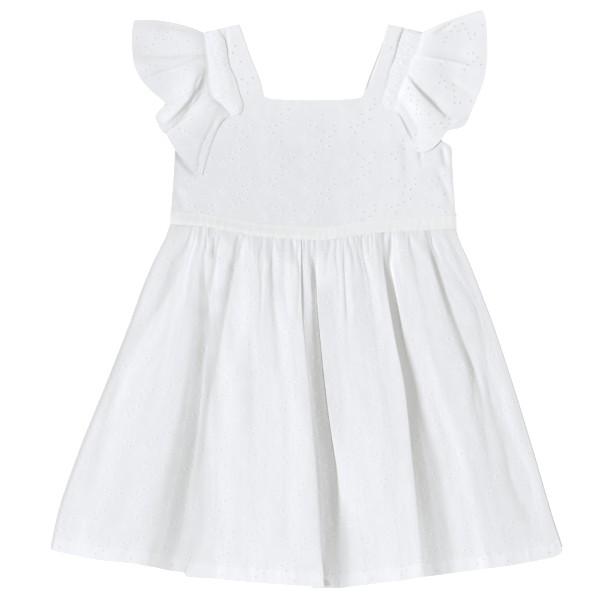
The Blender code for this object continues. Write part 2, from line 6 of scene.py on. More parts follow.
import bpy
import numpy as np
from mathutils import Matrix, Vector, noise


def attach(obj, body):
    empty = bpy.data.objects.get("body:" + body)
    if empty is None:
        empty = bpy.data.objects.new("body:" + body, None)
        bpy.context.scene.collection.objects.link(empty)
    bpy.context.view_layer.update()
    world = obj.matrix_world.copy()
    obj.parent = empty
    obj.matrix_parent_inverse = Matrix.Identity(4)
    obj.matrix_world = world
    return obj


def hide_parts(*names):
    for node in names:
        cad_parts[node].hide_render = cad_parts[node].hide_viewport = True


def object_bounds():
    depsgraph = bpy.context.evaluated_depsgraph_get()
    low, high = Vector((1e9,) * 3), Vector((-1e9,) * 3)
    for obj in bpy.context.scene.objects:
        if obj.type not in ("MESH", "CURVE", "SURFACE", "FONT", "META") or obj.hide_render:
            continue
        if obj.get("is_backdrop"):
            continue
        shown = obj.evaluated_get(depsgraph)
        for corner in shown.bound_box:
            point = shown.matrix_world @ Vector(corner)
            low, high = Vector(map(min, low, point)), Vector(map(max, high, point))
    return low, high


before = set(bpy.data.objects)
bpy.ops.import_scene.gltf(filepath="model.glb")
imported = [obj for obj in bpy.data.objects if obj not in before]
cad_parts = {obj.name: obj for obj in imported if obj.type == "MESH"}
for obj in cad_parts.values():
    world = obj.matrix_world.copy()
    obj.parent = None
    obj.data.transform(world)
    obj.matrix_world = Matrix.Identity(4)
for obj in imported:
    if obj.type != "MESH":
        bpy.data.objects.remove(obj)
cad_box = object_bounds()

# --- Front skirt ----------------------------------------------------------------------------------
# A wide panel of white cotton batiste, gathered into the waistband, with a deep stitched hem. It
# lies on the back panel in long folds that fan out from the gathers. Lengths are in millimetres:
# x to the right of the centre front, y up from the waist seam and z up from the ground.

MM = 0.001
WAIST_MIDDLE = (6.3, 68.65)  # the centre front of the waist, from the middle of the dress
WALL, GAP = 1.2, 0.3
BACK_LEVEL = WALL / 2
FRONT_LEVEL = 1.5 * WALL + GAP
CLOTH = 0.32  # the thickness of the cotton
SHARP_FOLD = 1.1  # in radians


def eased(keys, values, at):
    """Passes smoothly through rows of values, and never past them between two keys."""
    keys, values = np.asarray(keys, float), np.asarray(values, float)
    at = np.clip(np.asarray(at, float), keys[0], keys[-1])
    deep = (slice(None),) + (None,) * (values.ndim - 1)
    spans = np.diff(keys)[deep]
    slopes = np.diff(values, axis=0) / spans
    first, second = slopes[:-1], slopes[1:]
    both = first + second
    both[both == 0] = 1.0
    inner = np.where(first * second > 0, 2 * first * second / both, 0.0)
    tangents = np.concatenate([slopes[:1], inner, slopes[-1:]])
    i = np.clip(np.searchsorted(keys, at, side="right") - 1, 0, len(spans) - 1)
    s = (at - keys[i]) / np.diff(keys)[i]
    if values.ndim > 1 and s.ndim:
        s = s[:, None]
    run = spans[i]
    start = values[i] * (1 + 2 * s) * (1 - s) ** 2 + tangents[i] * run * s * (1 - s) ** 2
    end = values[i + 1] * s * s * (3 - 2 * s) - tangents[i + 1] * run * s * s * (1 - s)
    return start + end


def table(columns, *rows):
    """Rows of numbers with named columns."""
    named_row = namedtuple("Row", columns)
    return [named_row(*row) for row in rows]


def column(rows, name):
    return np.array([getattr(row, name) for row in rows], float)


def read_off(rows, key, name, at):
    """A column of a table, read smoothly at any values of its key column."""
    return eased(column(rows, key), column(rows, name), at)


WAIST_LINE = table(
    "x y",
    (-136, 13.6), (-107, 11.5), (-79, 7), (-52, 2.2), (-12, -0.9), (9, -1.6), (29, 1.2), (58, 5),
    (97, 7.4), (136, 9.2),
)
BAND_HEIGHT = 11.0


def waist_y(x):
    return read_off(WAIST_LINE, "x", "y", x)


# The outline, by the share of the way down from the waistband to the hem.
SKIRT_OUTLINE = table(
    "down left right",
    (0, -135.6, 135), (0.05, -141.2, 139.8), (0.1, -149.2, 146.8), (0.2, -162.4, 159),
    (0.3, -173.4, 170.4), (0.5, -197.4, 190.6), (0.7, -222.2, 209.2), (0.9, -243, 227),
    (1, -249.6, 237),
)

# Lines down the panel, from the left side to the right. At each of the FOLD_DOWNS, across is the
# share of the way across and rise is the height over the back skirt. spans says how many steps of
# cloth lie up to the next line, and hem_y where the line ends.
FOLD_DOWNS = (0, 0.06, 0.12, 0.27, 0.46, 0.69, 0.88, 0.965, 1)
FOLD_LINES = table(
    "name spans hem_y across rise",
    ("left side seam", 2, -305.8,
     (0, 0, 0, 0, 0, 0, 0, 0, 0),
     (0.6, 0.75, 0.9, 1.1, 1.5, 2, 2.1, 1.96, 1.9)),
    ("beside the left seam", 3, -307.9,
     (0.0126, 0.0113, 0.0107, 0.0096, 0.0075, 0.0069, 0.0059, 0.0061, 0.0061),
     (0.5, 0.5, 0.5, 0.6, 1, 1.5, 1.6, 1.46, 1.4)),
    ("slanting trough", 3, -311,
     (0.0583, 0.0578, 0.058, 0.0504, 0.0288, 0.0345, 0.0344, 0.0344, 0.0344),
     (0.4, 0.95, 1.5, 1.9, 1.7, 2.8, 3, 2.79, 2.7)),
    ("left crest", 3, -316.5,
     (0.0829, 0.087, 0.0911, 0.1068, 0.099, 0.0965, 0.0955, 0.0937, 0.0929),
     (0.7, 1.2, 1.7, 3.3, 5.4, 6, 6.2, 6.06, 6)),
    ("left fold, shoulder", 3, -320.2,
     (0.1022, 0.113, 0.1226, 0.1505, 0.1766, 0.1872, 0.1851, 0.1751, 0.171),
     (1.1, 1.75, 2.4, 5, 7.8, 9.2, 9, 8.58, 8.4)),
    ("left fold, slope", 3, -323.4,
     (0.1162, 0.1302, 0.1431, 0.1801, 0.2005, 0.2181, 0.2187, 0.2085, 0.2042),
     (1.1, 1.8, 2.5, 4.2, 6.6, 6.8, 6.6, 6.32, 6.2)),
    ("left fold, bottom", 3, -327.4,
     (0.125, 0.1452, 0.1636, 0.204, 0.2293, 0.2491, 0.2523, 0.243, 0.2394),
     (1.1, 1.8, 2.5, 2.5, 3.7, 1.5, 1.8, 1.8, 1.8)),
    ("left fold, lip", 3, -328.6,
     (0.1338, 0.1568, 0.1778, 0.2167, 0.2355, 0.258, 0.2686, 0.263, 0.2589),
     (1.2, 1.85, 2.5, 1.7, 3.5, 1.2, 0.9, 0.77, 0.8)),
    ("left fold, inner slope", 3, -332.9,
     (0.1513, 0.1728, 0.192, 0.2336, 0.2531, 0.2834, 0.2941, 0.2778, 0.2677),
     (1.2, 1.85, 2.5, 1.6, 2.3, 0.1, 0, 0, 0.1)),
    ("second gather fold", 3, -334.6,
     (0.1742, 0.1927, 0.2093, 0.2505, 0.2694, 0.3022, 0.3175, 0.3175, 0.3175),
     (1.2, 2, 2.8, 1.5, 2.2, 0.6, 0.5, 0.57, 0.6)),
    ("broad crest, left edge", 4, -336,
     (0.2163, 0.2365, 0.255, 0.2815, 0.3145, 0.3376, 0.3511, 0.3507, 0.3506),
     (1.3, 2.35, 3.4, 2.2, 4.6, 2.8, 2.4, 2.26, 2.2)),
    ("twin gather", 4, -338.4,
     (0.2971, 0.3096, 0.3212, 0.3491, 0.3796, 0.3973, 0.4051, 0.4066, 0.4073),
     (1.3, 2.55, 3.8, 4.4, 6.4, 5.6, 5.2, 5.06, 5)),
    ("third gather fold", 4, -339.9,
     (0.3567, 0.3654, 0.3733, 0.3998, 0.4347, 0.4549, 0.4601, 0.46, 0.46),
     (1.2, 2.5, 3.8, 5.6, 8.6, 8.6, 8.2, 8.06, 8)),
    ("centre fold, crest", 4, -340.9,
     (0.4199, 0.4259, 0.4316, 0.4449, 0.4686, 0.4903, 0.4998, 0.4999, 0.5),
     (1.4, 3, 4.6, 7.4, 10.2, 10.8, 10.4, 9.69, 9.4)),
    ("centre fold, lip", 2, -341.4,
     (0.4572, 0.4615, 0.4656, 0.4759, 0.4959, 0.5204, 0.5301, 0.5337, 0.5353),
     (1.4, 3.1, 4.8, 8.4, 11, 12, 11.4, 10.7, 10.2)),
    ("centre fold, upper slope", 3, -343.2,
     (0.4614, 0.4654, 0.4694, 0.481, 0.5061, 0.5305, 0.5385, 0.5388, 0.5039),
     (0.8, 1.85, 2.9, 7.9, 10.2, 10.6, 10.4, 9.3, 9.3)),
    ("centre fold, ridge", 3, -343.2,
     (0.4867, 0.4914, 0.4959, 0.5024, 0.5237, 0.55, 0.5558, 0.5531, 0.5517),
     (1.2, 2.4, 3.6, 6.2, 6.2, 6.6, 6.2, 5.9, 5.2)),
    ("centre fold, bottom", 2, -343.2,
     (0.5144, 0.5136, 0.5151, 0.5235, 0.542, 0.5681, 0.5741, 0.5697, 0.5683),
     (0.9, 1.8, 1.2, 0.6, 0.1, 0.2, 2.4, 2.5, 2.6)),
    ("centre fold, right lip", 3, -342.2,
     (0.5147, 0.5176, 0.5173, 0.5241, 0.5422, 0.5712, 0.5925, 0.5886, 0.5869),
     (1.2, 2, 3.6, 5.2, 5.4, 1, 0.8, 1, 1.2)),
    ("middle crest", 4, -340.3,
     (0.5639, 0.5638, 0.564, 0.5647, 0.5775, 0.5998, 0.6179, 0.6194, 0.6201),
     (1.4, 2.8, 4.2, 5.2, 5.4, 3.6, 1.8, 1.66, 1.6)),
    ("thin gather", 4, -338.9,
     (0.6096, 0.606, 0.6034, 0.5971, 0.6076, 0.6241, 0.6393, 0.6408, 0.6415),
     (1.3, 2.85, 4.4, 6.2, 6.6, 5.2, 3, 2.79, 2.7)),
    ("crest beside it", 4, -337.5,
     (0.6517, 0.6452, 0.6397, 0.6309, 0.6389, 0.6529, 0.6637, 0.6645, 0.665),
     (1.4, 3, 4.6, 6.6, 7.6, 7, 4.3, 4.02, 3.9)),
    ("fourth gather fold", 4, -336.2,
     (0.6868, 0.6811, 0.6759, 0.6689, 0.6728, 0.6827, 0.6872, 0.6866, 0.6865),
     (1.3, 2.95, 4.6, 6.8, 8.6, 8.2, 5.6, 5.18, 5)),
    ("right crest", 4, -334.1,
     (0.7184, 0.7133, 0.709, 0.7041, 0.7078, 0.7104, 0.7116, 0.709, 0.7079),
     (1.4, 3.2, 5, 7.5, 9.2, 9.2, 7, 6.43, 6.2)),
    ("right fold, lip", 2, -332.4,
     (0.7388, 0.7329, 0.7279, 0.7267, 0.7359, 0.7336, 0.731, 0.7269, 0.7255),
     (1.4, 2.9, 5.2, 8.2, 9.7, 9.8, 7.7, 7.13, 6.9)),
    ("right fold, upper slope", 3, -331.9,
     (0.7451, 0.7412, 0.7317, 0.7284, 0.7404, 0.7407, 0.7407, 0.7382, 0.7372),
     (0.8, 2.3, 3.4, 6.2, 7.6, 8.6, 6.7, 6.2, 6)),
    ("right fold, bottom", 3, -330.4,
     (0.7683, 0.7532, 0.7506, 0.7504, 0.7529, 0.7681, 0.7707, 0.7682, 0.7675),
     (1.2, 1.4, 1, 0.2, 3, 2.8, 2.3, 2.09, 2)),
    ("right fold, outer slope", 3, -328.6,
     (0.7732, 0.7635, 0.7557, 0.7537, 0.7655, 0.7967, 0.8002, 0.7985, 0.7977),
     (1.2, 1.6, 2.5, 2.6, 0.6, 0.1, 0.1, 0.03, 0)),
    ("outer crest", 4, -326.6,
     (0.8062, 0.7947, 0.7847, 0.7887, 0.8006, 0.8265, 0.8328, 0.8307, 0.8299),
     (1.4, 2.65, 3.9, 3.8, 1.6, 0.8, 0.9, 0.83, 0.8)),
    ("fifth gather fold", 3, -324.8,
     (0.8395, 0.8339, 0.8288, 0.8281, 0.8344, 0.8542, 0.8593, 0.8571, 0.8563),
     (1.2, 2.65, 4.1, 4.6, 3.2, 2.2, 2.3, 2.23, 2.2)),
    ("crest over the long fold", 4, -323.2,
     (0.8817, 0.8804, 0.8793, 0.8802, 0.8983, 0.8841, 0.8847, 0.8824, 0.8817),
     (1.3, 2.75, 4.2, 4.3, 3.4, 2.6, 2.4, 2.26, 2.2)),
    ("long fold", 3, -321,
     (0.9027, 0.9007, 0.8988, 0.9053, 0.9233, 0.9139, 0.9143, 0.9125, 0.9119),
     (0.9, 1.25, 1.6, 1.7, 1.75, 1.9, 2, 1.86, 1.8)),
    ("long fold, lip", 3, -319.4,
     (0.915, 0.9123, 0.9102, 0.9155, 0.9334, 0.9338, 0.9326, 0.9303, 0.9295),
     (0.9, 1.3, 1.7, 1.7, 1.7, 1.5, 1.6, 1.6, 1.6)),
    ("side trough", 3, -317,
     (0.9501, 0.9515, 0.9533, 0.9563, 0.9546, 0.9615, 0.9611, 0.9573, 0.9559),
     (0.9, 1.3, 1.7, 1.5, 0.9, 0.4, 0.9, 0.97, 1)),
    ("right roll", 2, -313.2,
     (0.9782, 0.9814, 0.9849, 0.9873, 0.986, 0.9881, 0.9886, 0.9874, 0.9871),
     (0.7, 0.85, 1, 1, 1, 0.8, 0.9, 0.83, 0.8)),
    ("right side seam", 0, -308.4,
     (1, 1, 1, 1, 1, 1, 1, 1, 1),
     (0.5, 0.65, 0.8, 0.7, 0.7, 0.7, 0.7, 0.63, 0.6)),
)
LINE_AT = np.concatenate([[0], np.cumsum(column(FOLD_LINES[:-1], "spans"))])

# Gathers and creases that run down from the waist. Each point of a course gives y, x, how wide the
# crease is on its left and on its right, and how deep it is.
CREASES = {
    "soft fold at the left side": [
        (-11.3, -118.3, 1.9, 1.9, 0.24), (-18, -118.1, 4.2, 10.7, 1.2), (-25, -121.5, 6, 10, 1.4),
        (-38, -126.5, 8.5, 14, 1.9), (-52.2, -131, 9, 14.2, 1.9), (-75, -143.2, 7.6, 9.5, 1.5),
        (-101.6, -161.2, 7.6, 7.8, 1.2), (-144.3, -179.3, 7.6, 7.6, 0.72),
        (-193.7, -192.8, 8.5, 7.6, 0.54), (-241.2, -205.9, 7.6, 7.6, 0.36),
        (-279.2, -216.9, 5.7, 5.7, 0),
    ],
    "left fold, at the waist": [
        (-10.4, -101, 0.9, 1.3, 0.36), (-18, -101.2, 1.9, 2.5, 0.71),
        (-27.5, -103.5, 1.9, 1.9, 0.55), (-39.8, -102.5, 3.8, 6.2, 0.95),
        (-52.2, -102.5, 3.8, 7.6, 1.2), (-70.2, -101.6, 3.8, 3.8, 0),
    ],
    "beside the left crease": [
        (-11.3, -93.6, 1.3, 1.7, 0.48), (-18, -93.5, 1.7, 2.6, 0.74), (-24.6, -94.3, 1.5, 3.9, 1.1),
        (-30.3, -95, 1.3, 1.1, 0),
    ],
    "left crease": [
        (-9.4, -88.3, 1.3, 1.5, 0.4), (-18, -89.7, 2, 4.8, 0.9), (-27.5, -91.5, 2.8, 9, 1.1),
        (-39.8, -92.8, 2.8, 6.4, 0.99), (-52.2, -95.4, 3.2, 6.5, 1), (-67.4, -98.2, 3.2, 2.8, 0),
    ],
    "strong crease": [
        (-9.4, -71.2, 1.3, 2.1, 0.6), (-18, -72.3, 1.9, 5, 1.2), (-27.5, -73.6, 2.5, 9.6, 1.4),
        (-39.8, -75, 4.2, 18.6, 2.9), (-52.2, -76.7, 5.7, 19.3, 3), (-75, -81, 4.8, 14.9, 2.3),
        (-101.6, -86, 4.8, 12, 1.4), (-132.9, -90.9, 5.2, 10, 1), (-165.2, -98.2, 3.2, 4.8, 0.68),
        (-203.2, -102.5, 3.8, 4.8, 0.54), (-241.2, -108.2, 3.8, 4.8, 0.3),
        (-265, -112, 3.8, 4.8, 0),
    ],
    "beside the strong crease": [
        (-10.4, -66.5, 1.3, 1.3, 0.36), (-18, -67.9, 1.7, 3.1, 0.89), (-27.5, -70, 1.9, 2.5, 0.71),
        (-37.9, -72.3, 1.9, 2.3, 0),
    ],
    "thin pair, left one": [
        (-11.3, -47.8, 0.9, 0.9, 0.22), (-18, -48.3, 1.1, 1.3, 0.36),
        (-27.5, -50.5, 1.1, 1.8, 0.53), (-39.8, -50.7, 1.1, 1.3, 0.36),
        (-52.2, -48.7, 1.4, 1.7, 0.49), (-75, -49.7, 1.1, 1.4, 0.28), (-96.8, -50.5, 1.1, 1.4, 0),
    ],
    "thin pair, right one": [
        (-24.6, -47.2, 0.9, 0.9, 0.09), (-34.1, -47.5, 1, 1.6, 0.45), (-39.8, -48, 1, 1.9, 0.54),
        (-48.4, -48.4, 0.9, 0.9, 0),
    ],
    "third crease": [
        (-9.4, -37.9, 0.9, 1.1, 0.3), (-18, -38.1, 1.1, 2, 0.56), (-27.5, -38.8, 1.2, 2.6, 0.75),
        (-39.8, -38.4, 2.8, 11.6, 1.8), (-52.2, -37.6, 3.8, 13.6, 2.1), (-75, -36.8, 3.8, 8.6, 1.3),
        (-101.6, -32.8, 4.8, 4.8, 0.73), (-119.6, -31.4, 4.8, 4.8, 0.34),
        (-151, -30.5, 4.8, 4.8, 0),
    ],
    "beside the third crease": [
        (-12.3, -41, 1.7, 1.5, 0.26), (-18, -40.9, 2.5, 2.8, 0.43), (-27.5, -41.6, 2.1, 2.9, 0.44),
        (-37.9, -42.5, 1.9, 1.5, 0),
    ],
    "broad gather": [
        (-10.4, -27.1, 1.9, 1.5, 0.42), (-18, -27.2, 3.4, 5.6, 0.85), (-27.5, -28.1, 3.4, 3.3, 0.5),
        (-39.8, -26.9, 3.8, 4.3, 0.65), (-52.2, -27.1, 3.8, 4.4, 0.67),
        (-75, -24.8, 2.8, 2.8, 0.38), (-96.8, -23.5, 2.8, 2.8, 0),
    ],
    "small gather in it": [
        (-11.3, -34.5, 0.9, 1.1, 0.32), (-18, -33.4, 1.3, 1.6, 0.45), (-25.6, -33.1, 1.2, 1.1, 0),
    ],
    "short gather": [
        (-10.4, -20.5, 1, 1.1, 0.32), (-18, -19.3, 1.7, 2.6, 0.74), (-27.5, -16.1, 2.8, 2.8, 0.42),
        (-38.9, -14.3, 2.8, 2.3, 0),
    ],
    "gather by the centre fold": [
        (-18, -13.2, 0.9, 1.3, 0.36), (-27.5, -14.6, 1.1, 1.3, 0.36),
        (-39.8, -12.9, 1.5, 2.5, 0.72), (-52.2, -12.7, 1.3, 1.6, 0.45),
        (-75, -14.2, 1.3, 1.3, 0.23), (-89.2, -15.2, 1.3, 1.3, 0),
    ],
    "centre, first gather": [
        (-10.4, -2.9, 0.9, 0.9, 0.16), (-18, -3.1, 1.5, 1.7, 0.48), (-27.5, -2.3, 1.7, 3.2, 0.43),
        (-37.9, -0.5, 1.9, 2.8, 0.24), (-45.5, 0.9, 1.9, 1.9, 0),
    ],
    "left of the centre": [
        (-10.4, -8.3, 0.9, 1, 0.29), (-18, -7.9, 0.9, 1.2, 0.36), (-25.6, -7.6, 0.9, 0.9, 0),
    ],
    "branch of the centre crease": [
        (-26.5, -0.9, 1.3, 1.5, 0.12), (-34.1, 0.6, 2.3, 6.2, 0.96), (-41.7, 1.5, 2.5, 9.6, 1.5),
        (-52.2, 0.9, 1.9, 8.9, 2.5), (-65.5, 1, 1.3, 1.3, 0),
    ],
    "thin gather right of the centre": [
        (-11.3, 10.5, 1.1, 0.9, 0.23), (-18, 10.3, 1.3, 1.1, 0.23), (-24.6, 10.1, 1.3, 1.1, 0),
    ],
    "second gather right of it": [
        (-9.4, 15.6, 1, 0.9, 0.24), (-18, 15.3, 1.4, 2, 0.58), (-27.5, 14.1, 1.2, 1.5, 0.43),
        (-39.8, 12.4, 1.9, 1.5, 0.21), (-52.2, 10.7, 1.9, 1.5, 0),
    ],
    "small third gather": [
        (-10.4, 19.5, 0.9, 0.9, 0.2), (-18, 18.9, 1.2, 1.1, 0.25), (-22.7, 18.5, 1.1, 1, 0),
    ],
    "fourth gather": [
        (-10.4, 22.7, 0.9, 0.9, 0.19), (-18, 22.2, 1.2, 1.1, 0.25), (-27.5, 21, 1.4, 1.7, 0.49),
        (-39.8, 23.6, 1.6, 1.3, 0.23), (-52.2, 24.1, 1.5, 1.5, 0.22), (-70.2, 24.9, 1.5, 1.5, 0),
    ],
    "long thin crease": [
        (-9.4, 27.5, 1, 1, 0.19), (-18, 28.7, 1.5, 1.5, 0.35), (-27.5, 29.3, 1.1, 2.1, 0.46),
        (-39.8, 29.8, 1.3, 2.8, 0.81), (-52.2, 30.2, 1.2, 2.4, 0.68), (-75, 31.6, 1.5, 3.2, 0.92),
        (-101.6, 32.8, 2.8, 2.8, 0.16), (-129.1, 33.5, 2.8, 2.8, 0.097), (-151, 34.5, 2.8, 2.8, 0),
    ],
    "gather after the long thin crease": [
        (-10.4, 32.8, 0.9, 0.9, 0.26), (-18, 35.1, 1.7, 2.4, 0.69), (-27.5, 37.9, 1.6, 1.8, 0.51),
        (-39.8, 38.7, 1.5, 1.5, 0.16), (-50.3, 39.6, 1.4, 1.4, 0),
    ],
    "second gather after it": [
        (-10.4, 40, 1.1, 1.1, 0.24), (-18, 40.9, 1.9, 1.7, 0.44), (-27.5, 44, 1.7, 1.9, 0.54),
        (-39.8, 46.6, 1.4, 1.3, 0.37), (-52.2, 49, 1.7, 1.5, 0.3), (-68.3, 50.3, 1.7, 1.5, 0),
    ],
    "long gather before the right fold": [
        (-9.4, 45, 1, 1, 0.27), (-18, 46.2, 1.6, 2, 0.56), (-27.5, 47.5, 1.2, 2, 0.57),
        (-39.8, 50.5, 1.6, 2.4, 0.7), (-52.2, 53.6, 2.1, 3.4, 0.52), (-75, 56.8, 3.4, 3.4, 0.52),
        (-101.6, 60.3, 4.8, 4.4, 0.54), (-132.9, 62.8, 3.8, 3.8, 0.21),
        (-165.2, 72.1, 4.8, 4.8, 0.24), (-203.2, 75, 4.8, 4.8, 0),
    ],
    "short gather after the long one": [
        (-11.3, 51.5, 1.1, 1.1, 0.23), (-18.9, 53, 1.5, 1.5, 0.32), (-27.5, 53.9, 1.5, 1.5, 0.14),
        (-34.1, 54.8, 1.5, 1.5, 0),
    ],
    "gather before the right fold": [
        (-10.4, 60.7, 1.1, 1.1, 0.11), (-18, 62.4, 2.1, 1.7, 0.2), (-24.6, 63.2, 1.9, 1.5, 0),
    ],
    "right fold, second gather": [
        (-10.4, 73.8, 1.1, 1.4, 0.41), (-18, 74.2, 2.8, 6.8, 1), (-27.5, 72.9, 1.7, 4, 1.1),
        (-37.9, 72.4, 1.3, 1.3, 0.27), (-45.5, 72.6, 1.3, 1.3, 0),
    ],
    "shallow gather past the right fold": [
        (-10.4, 83, 1.3, 1.3, 0.21), (-18, 83.1, 1.9, 1.7, 0.21), (-27.5, 79.4, 1.5, 1.5, 0.21),
        (-39.8, 81.2, 1.9, 1.9, 0.27), (-60.7, 84.1, 1.9, 1.9, 0),
    ],
    "gather halfway to the long fold": [
        (-9.4, 91.4, 1.1, 1.2, 0.33), (-18, 92.6, 1.7, 2.6, 0.74), (-27.5, 95.8, 3.2, 5.2, 0.81),
        (-39.8, 98.2, 3.4, 3.4, 0.52), (-52.2, 99.9, 2.5, 2.9, 0.44), (-75, 105.5, 3.8, 3.8, 0.22),
        (-101.6, 111.2, 3.8, 3.8, 0.18), (-127.2, 116.9, 3.8, 3.8, 0),
    ],
    "before the long fold": [
        (-10.4, 104.4, 1.1, 1.1, 0.18), (-18, 107.2, 2.3, 2.8, 0.44),
        (-24.6, 108.8, 1.9, 1.3, 0.26), (-31.3, 109.8, 1.5, 1.3, 0),
    ],
    "after the long fold": [
        (-10.4, 112.4, 0.9, 1.3, 0.36), (-18, 113.4, 1, 1.4, 0.41), (-27.5, 118, 1.3, 1.6, 0.45),
        (-36, 120.3, 1.3, 1.2, 0),
    ],
    "soft fold right of it": [
        (-10.4, 118.3, 1.9, 1.9, 0.31), (-18, 123.6, 3.8, 3.8, 0.51),
        (-27.5, 124.5, 3.2, 4.4, 0.43), (-39.8, 132.6, 4.4, 5.1, 0.58),
        (-52.2, 140.6, 5.3, 6, 0.92), (-75, 153.8, 4.8, 5.1, 0.73), (-101.6, 161.4, 4.8, 5, 0.76),
        (-132.9, 166.2, 4.8, 4.8, 0.66), (-165.2, 169, 4.8, 7.7, 1.2),
        (-203.2, 180, 6.6, 7.6, 0.56), (-241.2, 193.9, 8.5, 10.7, 1.6),
        (-279.2, 206.2, 8.5, 8.5, 0.41), (-307.7, 215.7, 8.5, 8.5, 0),
    ],
    "second lobe of the long fold": [
        (-108.2, 141.6, 3.8, 3.8, 0.12), (-132.9, 151.8, 3.4, 8.6, 1.3),
        (-165.2, 153.8, 4.8, 7.7, 1.2), (-203.2, 165, 5.7, 5.7, 0.6),
        (-241.2, 169.8, 5.7, 5.7, 0.32), (-279.2, 178.3, 5.7, 5.7, 0),
    ],
    "shallow valley left of the centre": [
        (-94, -56.1, 4.8, 4.8, 0.045), (-113, -57.7, 5.7, 5.7, 0.36),
        (-165.2, -56.2, 7.6, 7.6, 0.41), (-226, -52.9, 7.6, 7.6, 0.27), (-265, -52, 7.6, 7.6, 0),
    ],
    "second shallow valley": [
        (-108.2, -31.4, 4.8, 4.8, 0), (-132.9, -33.7, 6.6, 5.7, 0.36),
        (-165.2, -39.4, 6.6, 6.6, 0.41), (-193.7, -37.5, 6.6, 6.6, 0.27),
        (-231.7, -35.6, 6.6, 6.6, 0),
    ],
    "upper dent in the left fold": [
        (-60, -99.5, 2.8, 4, 0), (-70, -99, 5.4, 5.4, 0.8), (-78, -98.8, 6.6, 6.6, 1.6),
        (-86, -100, 5.6, 5.4, 0.6), (-93, -101, 2.8, 4, 0),
    ],
    "lower dent in the left fold": [
        (-104, -101, 2.8, 4, 0), (-112, -101.8, 5, 5.4, 0.6), (-119, -102.8, 5.8, 5.8, 1),
        (-126, -104.2, 5, 5, 0.5), (-135, -106, 2.8, 4, 0),
    ],
    "dip by the left side": [
        (-119.6, -185, 2.8, 2.8, 0.05), (-146.2, -183.3, 3.8, 3.8, 0.13),
        (-165.2, -189.4, 3.2, 3.2, 0.37), (-193.7, -198.9, 3.2, 3.2, 0.17),
        (-241.2, -206.1, 3.8, 3.8, 0.1), (-307.7, -208, 3.8, 2.8, 0.084),
        (-328.6, -208.9, 3.8, 3.8, 0.13),
    ],
}


SOFT_FOOT = 0.15  # how softly the far side of a crease runs out


def crease_relief(x, y, creases):
    """How far the creases lower a sheet at each point."""
    relief = np.zeros_like(x)
    for course in map(np.array, creases.values()):
        inside = (y <= course[0, 0]) & (y >= course[-1, 0])
        middle, left, right, depth = eased(-course[:, 0], course[:, 1:], -y[inside]).T
        before, after = np.maximum(middle - x[inside], 0) / left, (x[inside] - middle) / right
        ramp = 1 - after / 2
        ramp = np.where(after > 0, (ramp + np.hypot(ramp, SOFT_FOOT)) / 2, 1.0)
        relief[inside] += depth * ramp * np.exp(-(before**1.6))
    return relief


SKIRT_LENGTH = 325.0  # with its hem turned up
SKIRT_WIDTH = 400.0  # about half the way down
HEM_DEPTH = 13.5
HEM_STEP, HEM_PUCKER, HEM_GROOVE = 0.06, 0.16, 0.1
GATHER_HEIGHT, GATHER_REACH = 0.34, 17
OVER_BACK_FOLDS = 0.75  # the front panel's room over the back panel's pressed folds
SEAM_EDGE = 0.85  # how high over the ground the side seams' edges stand


def ripple(u, v, size, seed):
    """A soft uneven waviness from about -1 to 1, with hollows about as wide as size."""
    places = zip((np.ravel(u) / size).tolist(), (np.ravel(v) / size).tolist())
    heights = [noise.noise(Vector((a, b, seed))) for a, b in places]
    return np.array(heights).reshape(np.shape(u))


def side_taper(across, width, roll=14.0):
    """Grows from 0 at both sides of a sheet to 1 at the width of the roll inside."""
    inside = np.minimum(across, 1 - across) * width
    return np.sin(np.clip(inside / roll, 0, 1) * math.pi / 2)


def skirt_top(across, seam_higher=0.0):
    """The y of a panel's top edge, under the waistband."""
    left, right = SKIRT_OUTLINE[0].left, SKIRT_OUTLINE[0].right
    return waist_y(left + (right - left) * across) + seam_higher - BAND_HEIGHT


def skirt_x(down, across):
    """The x at shares of the way across a panel, at one share of the way down."""
    left, right = (read_off(SKIRT_OUTLINE, "down", side, down) for side in ("left", "right"))
    return left + (right - left) * across


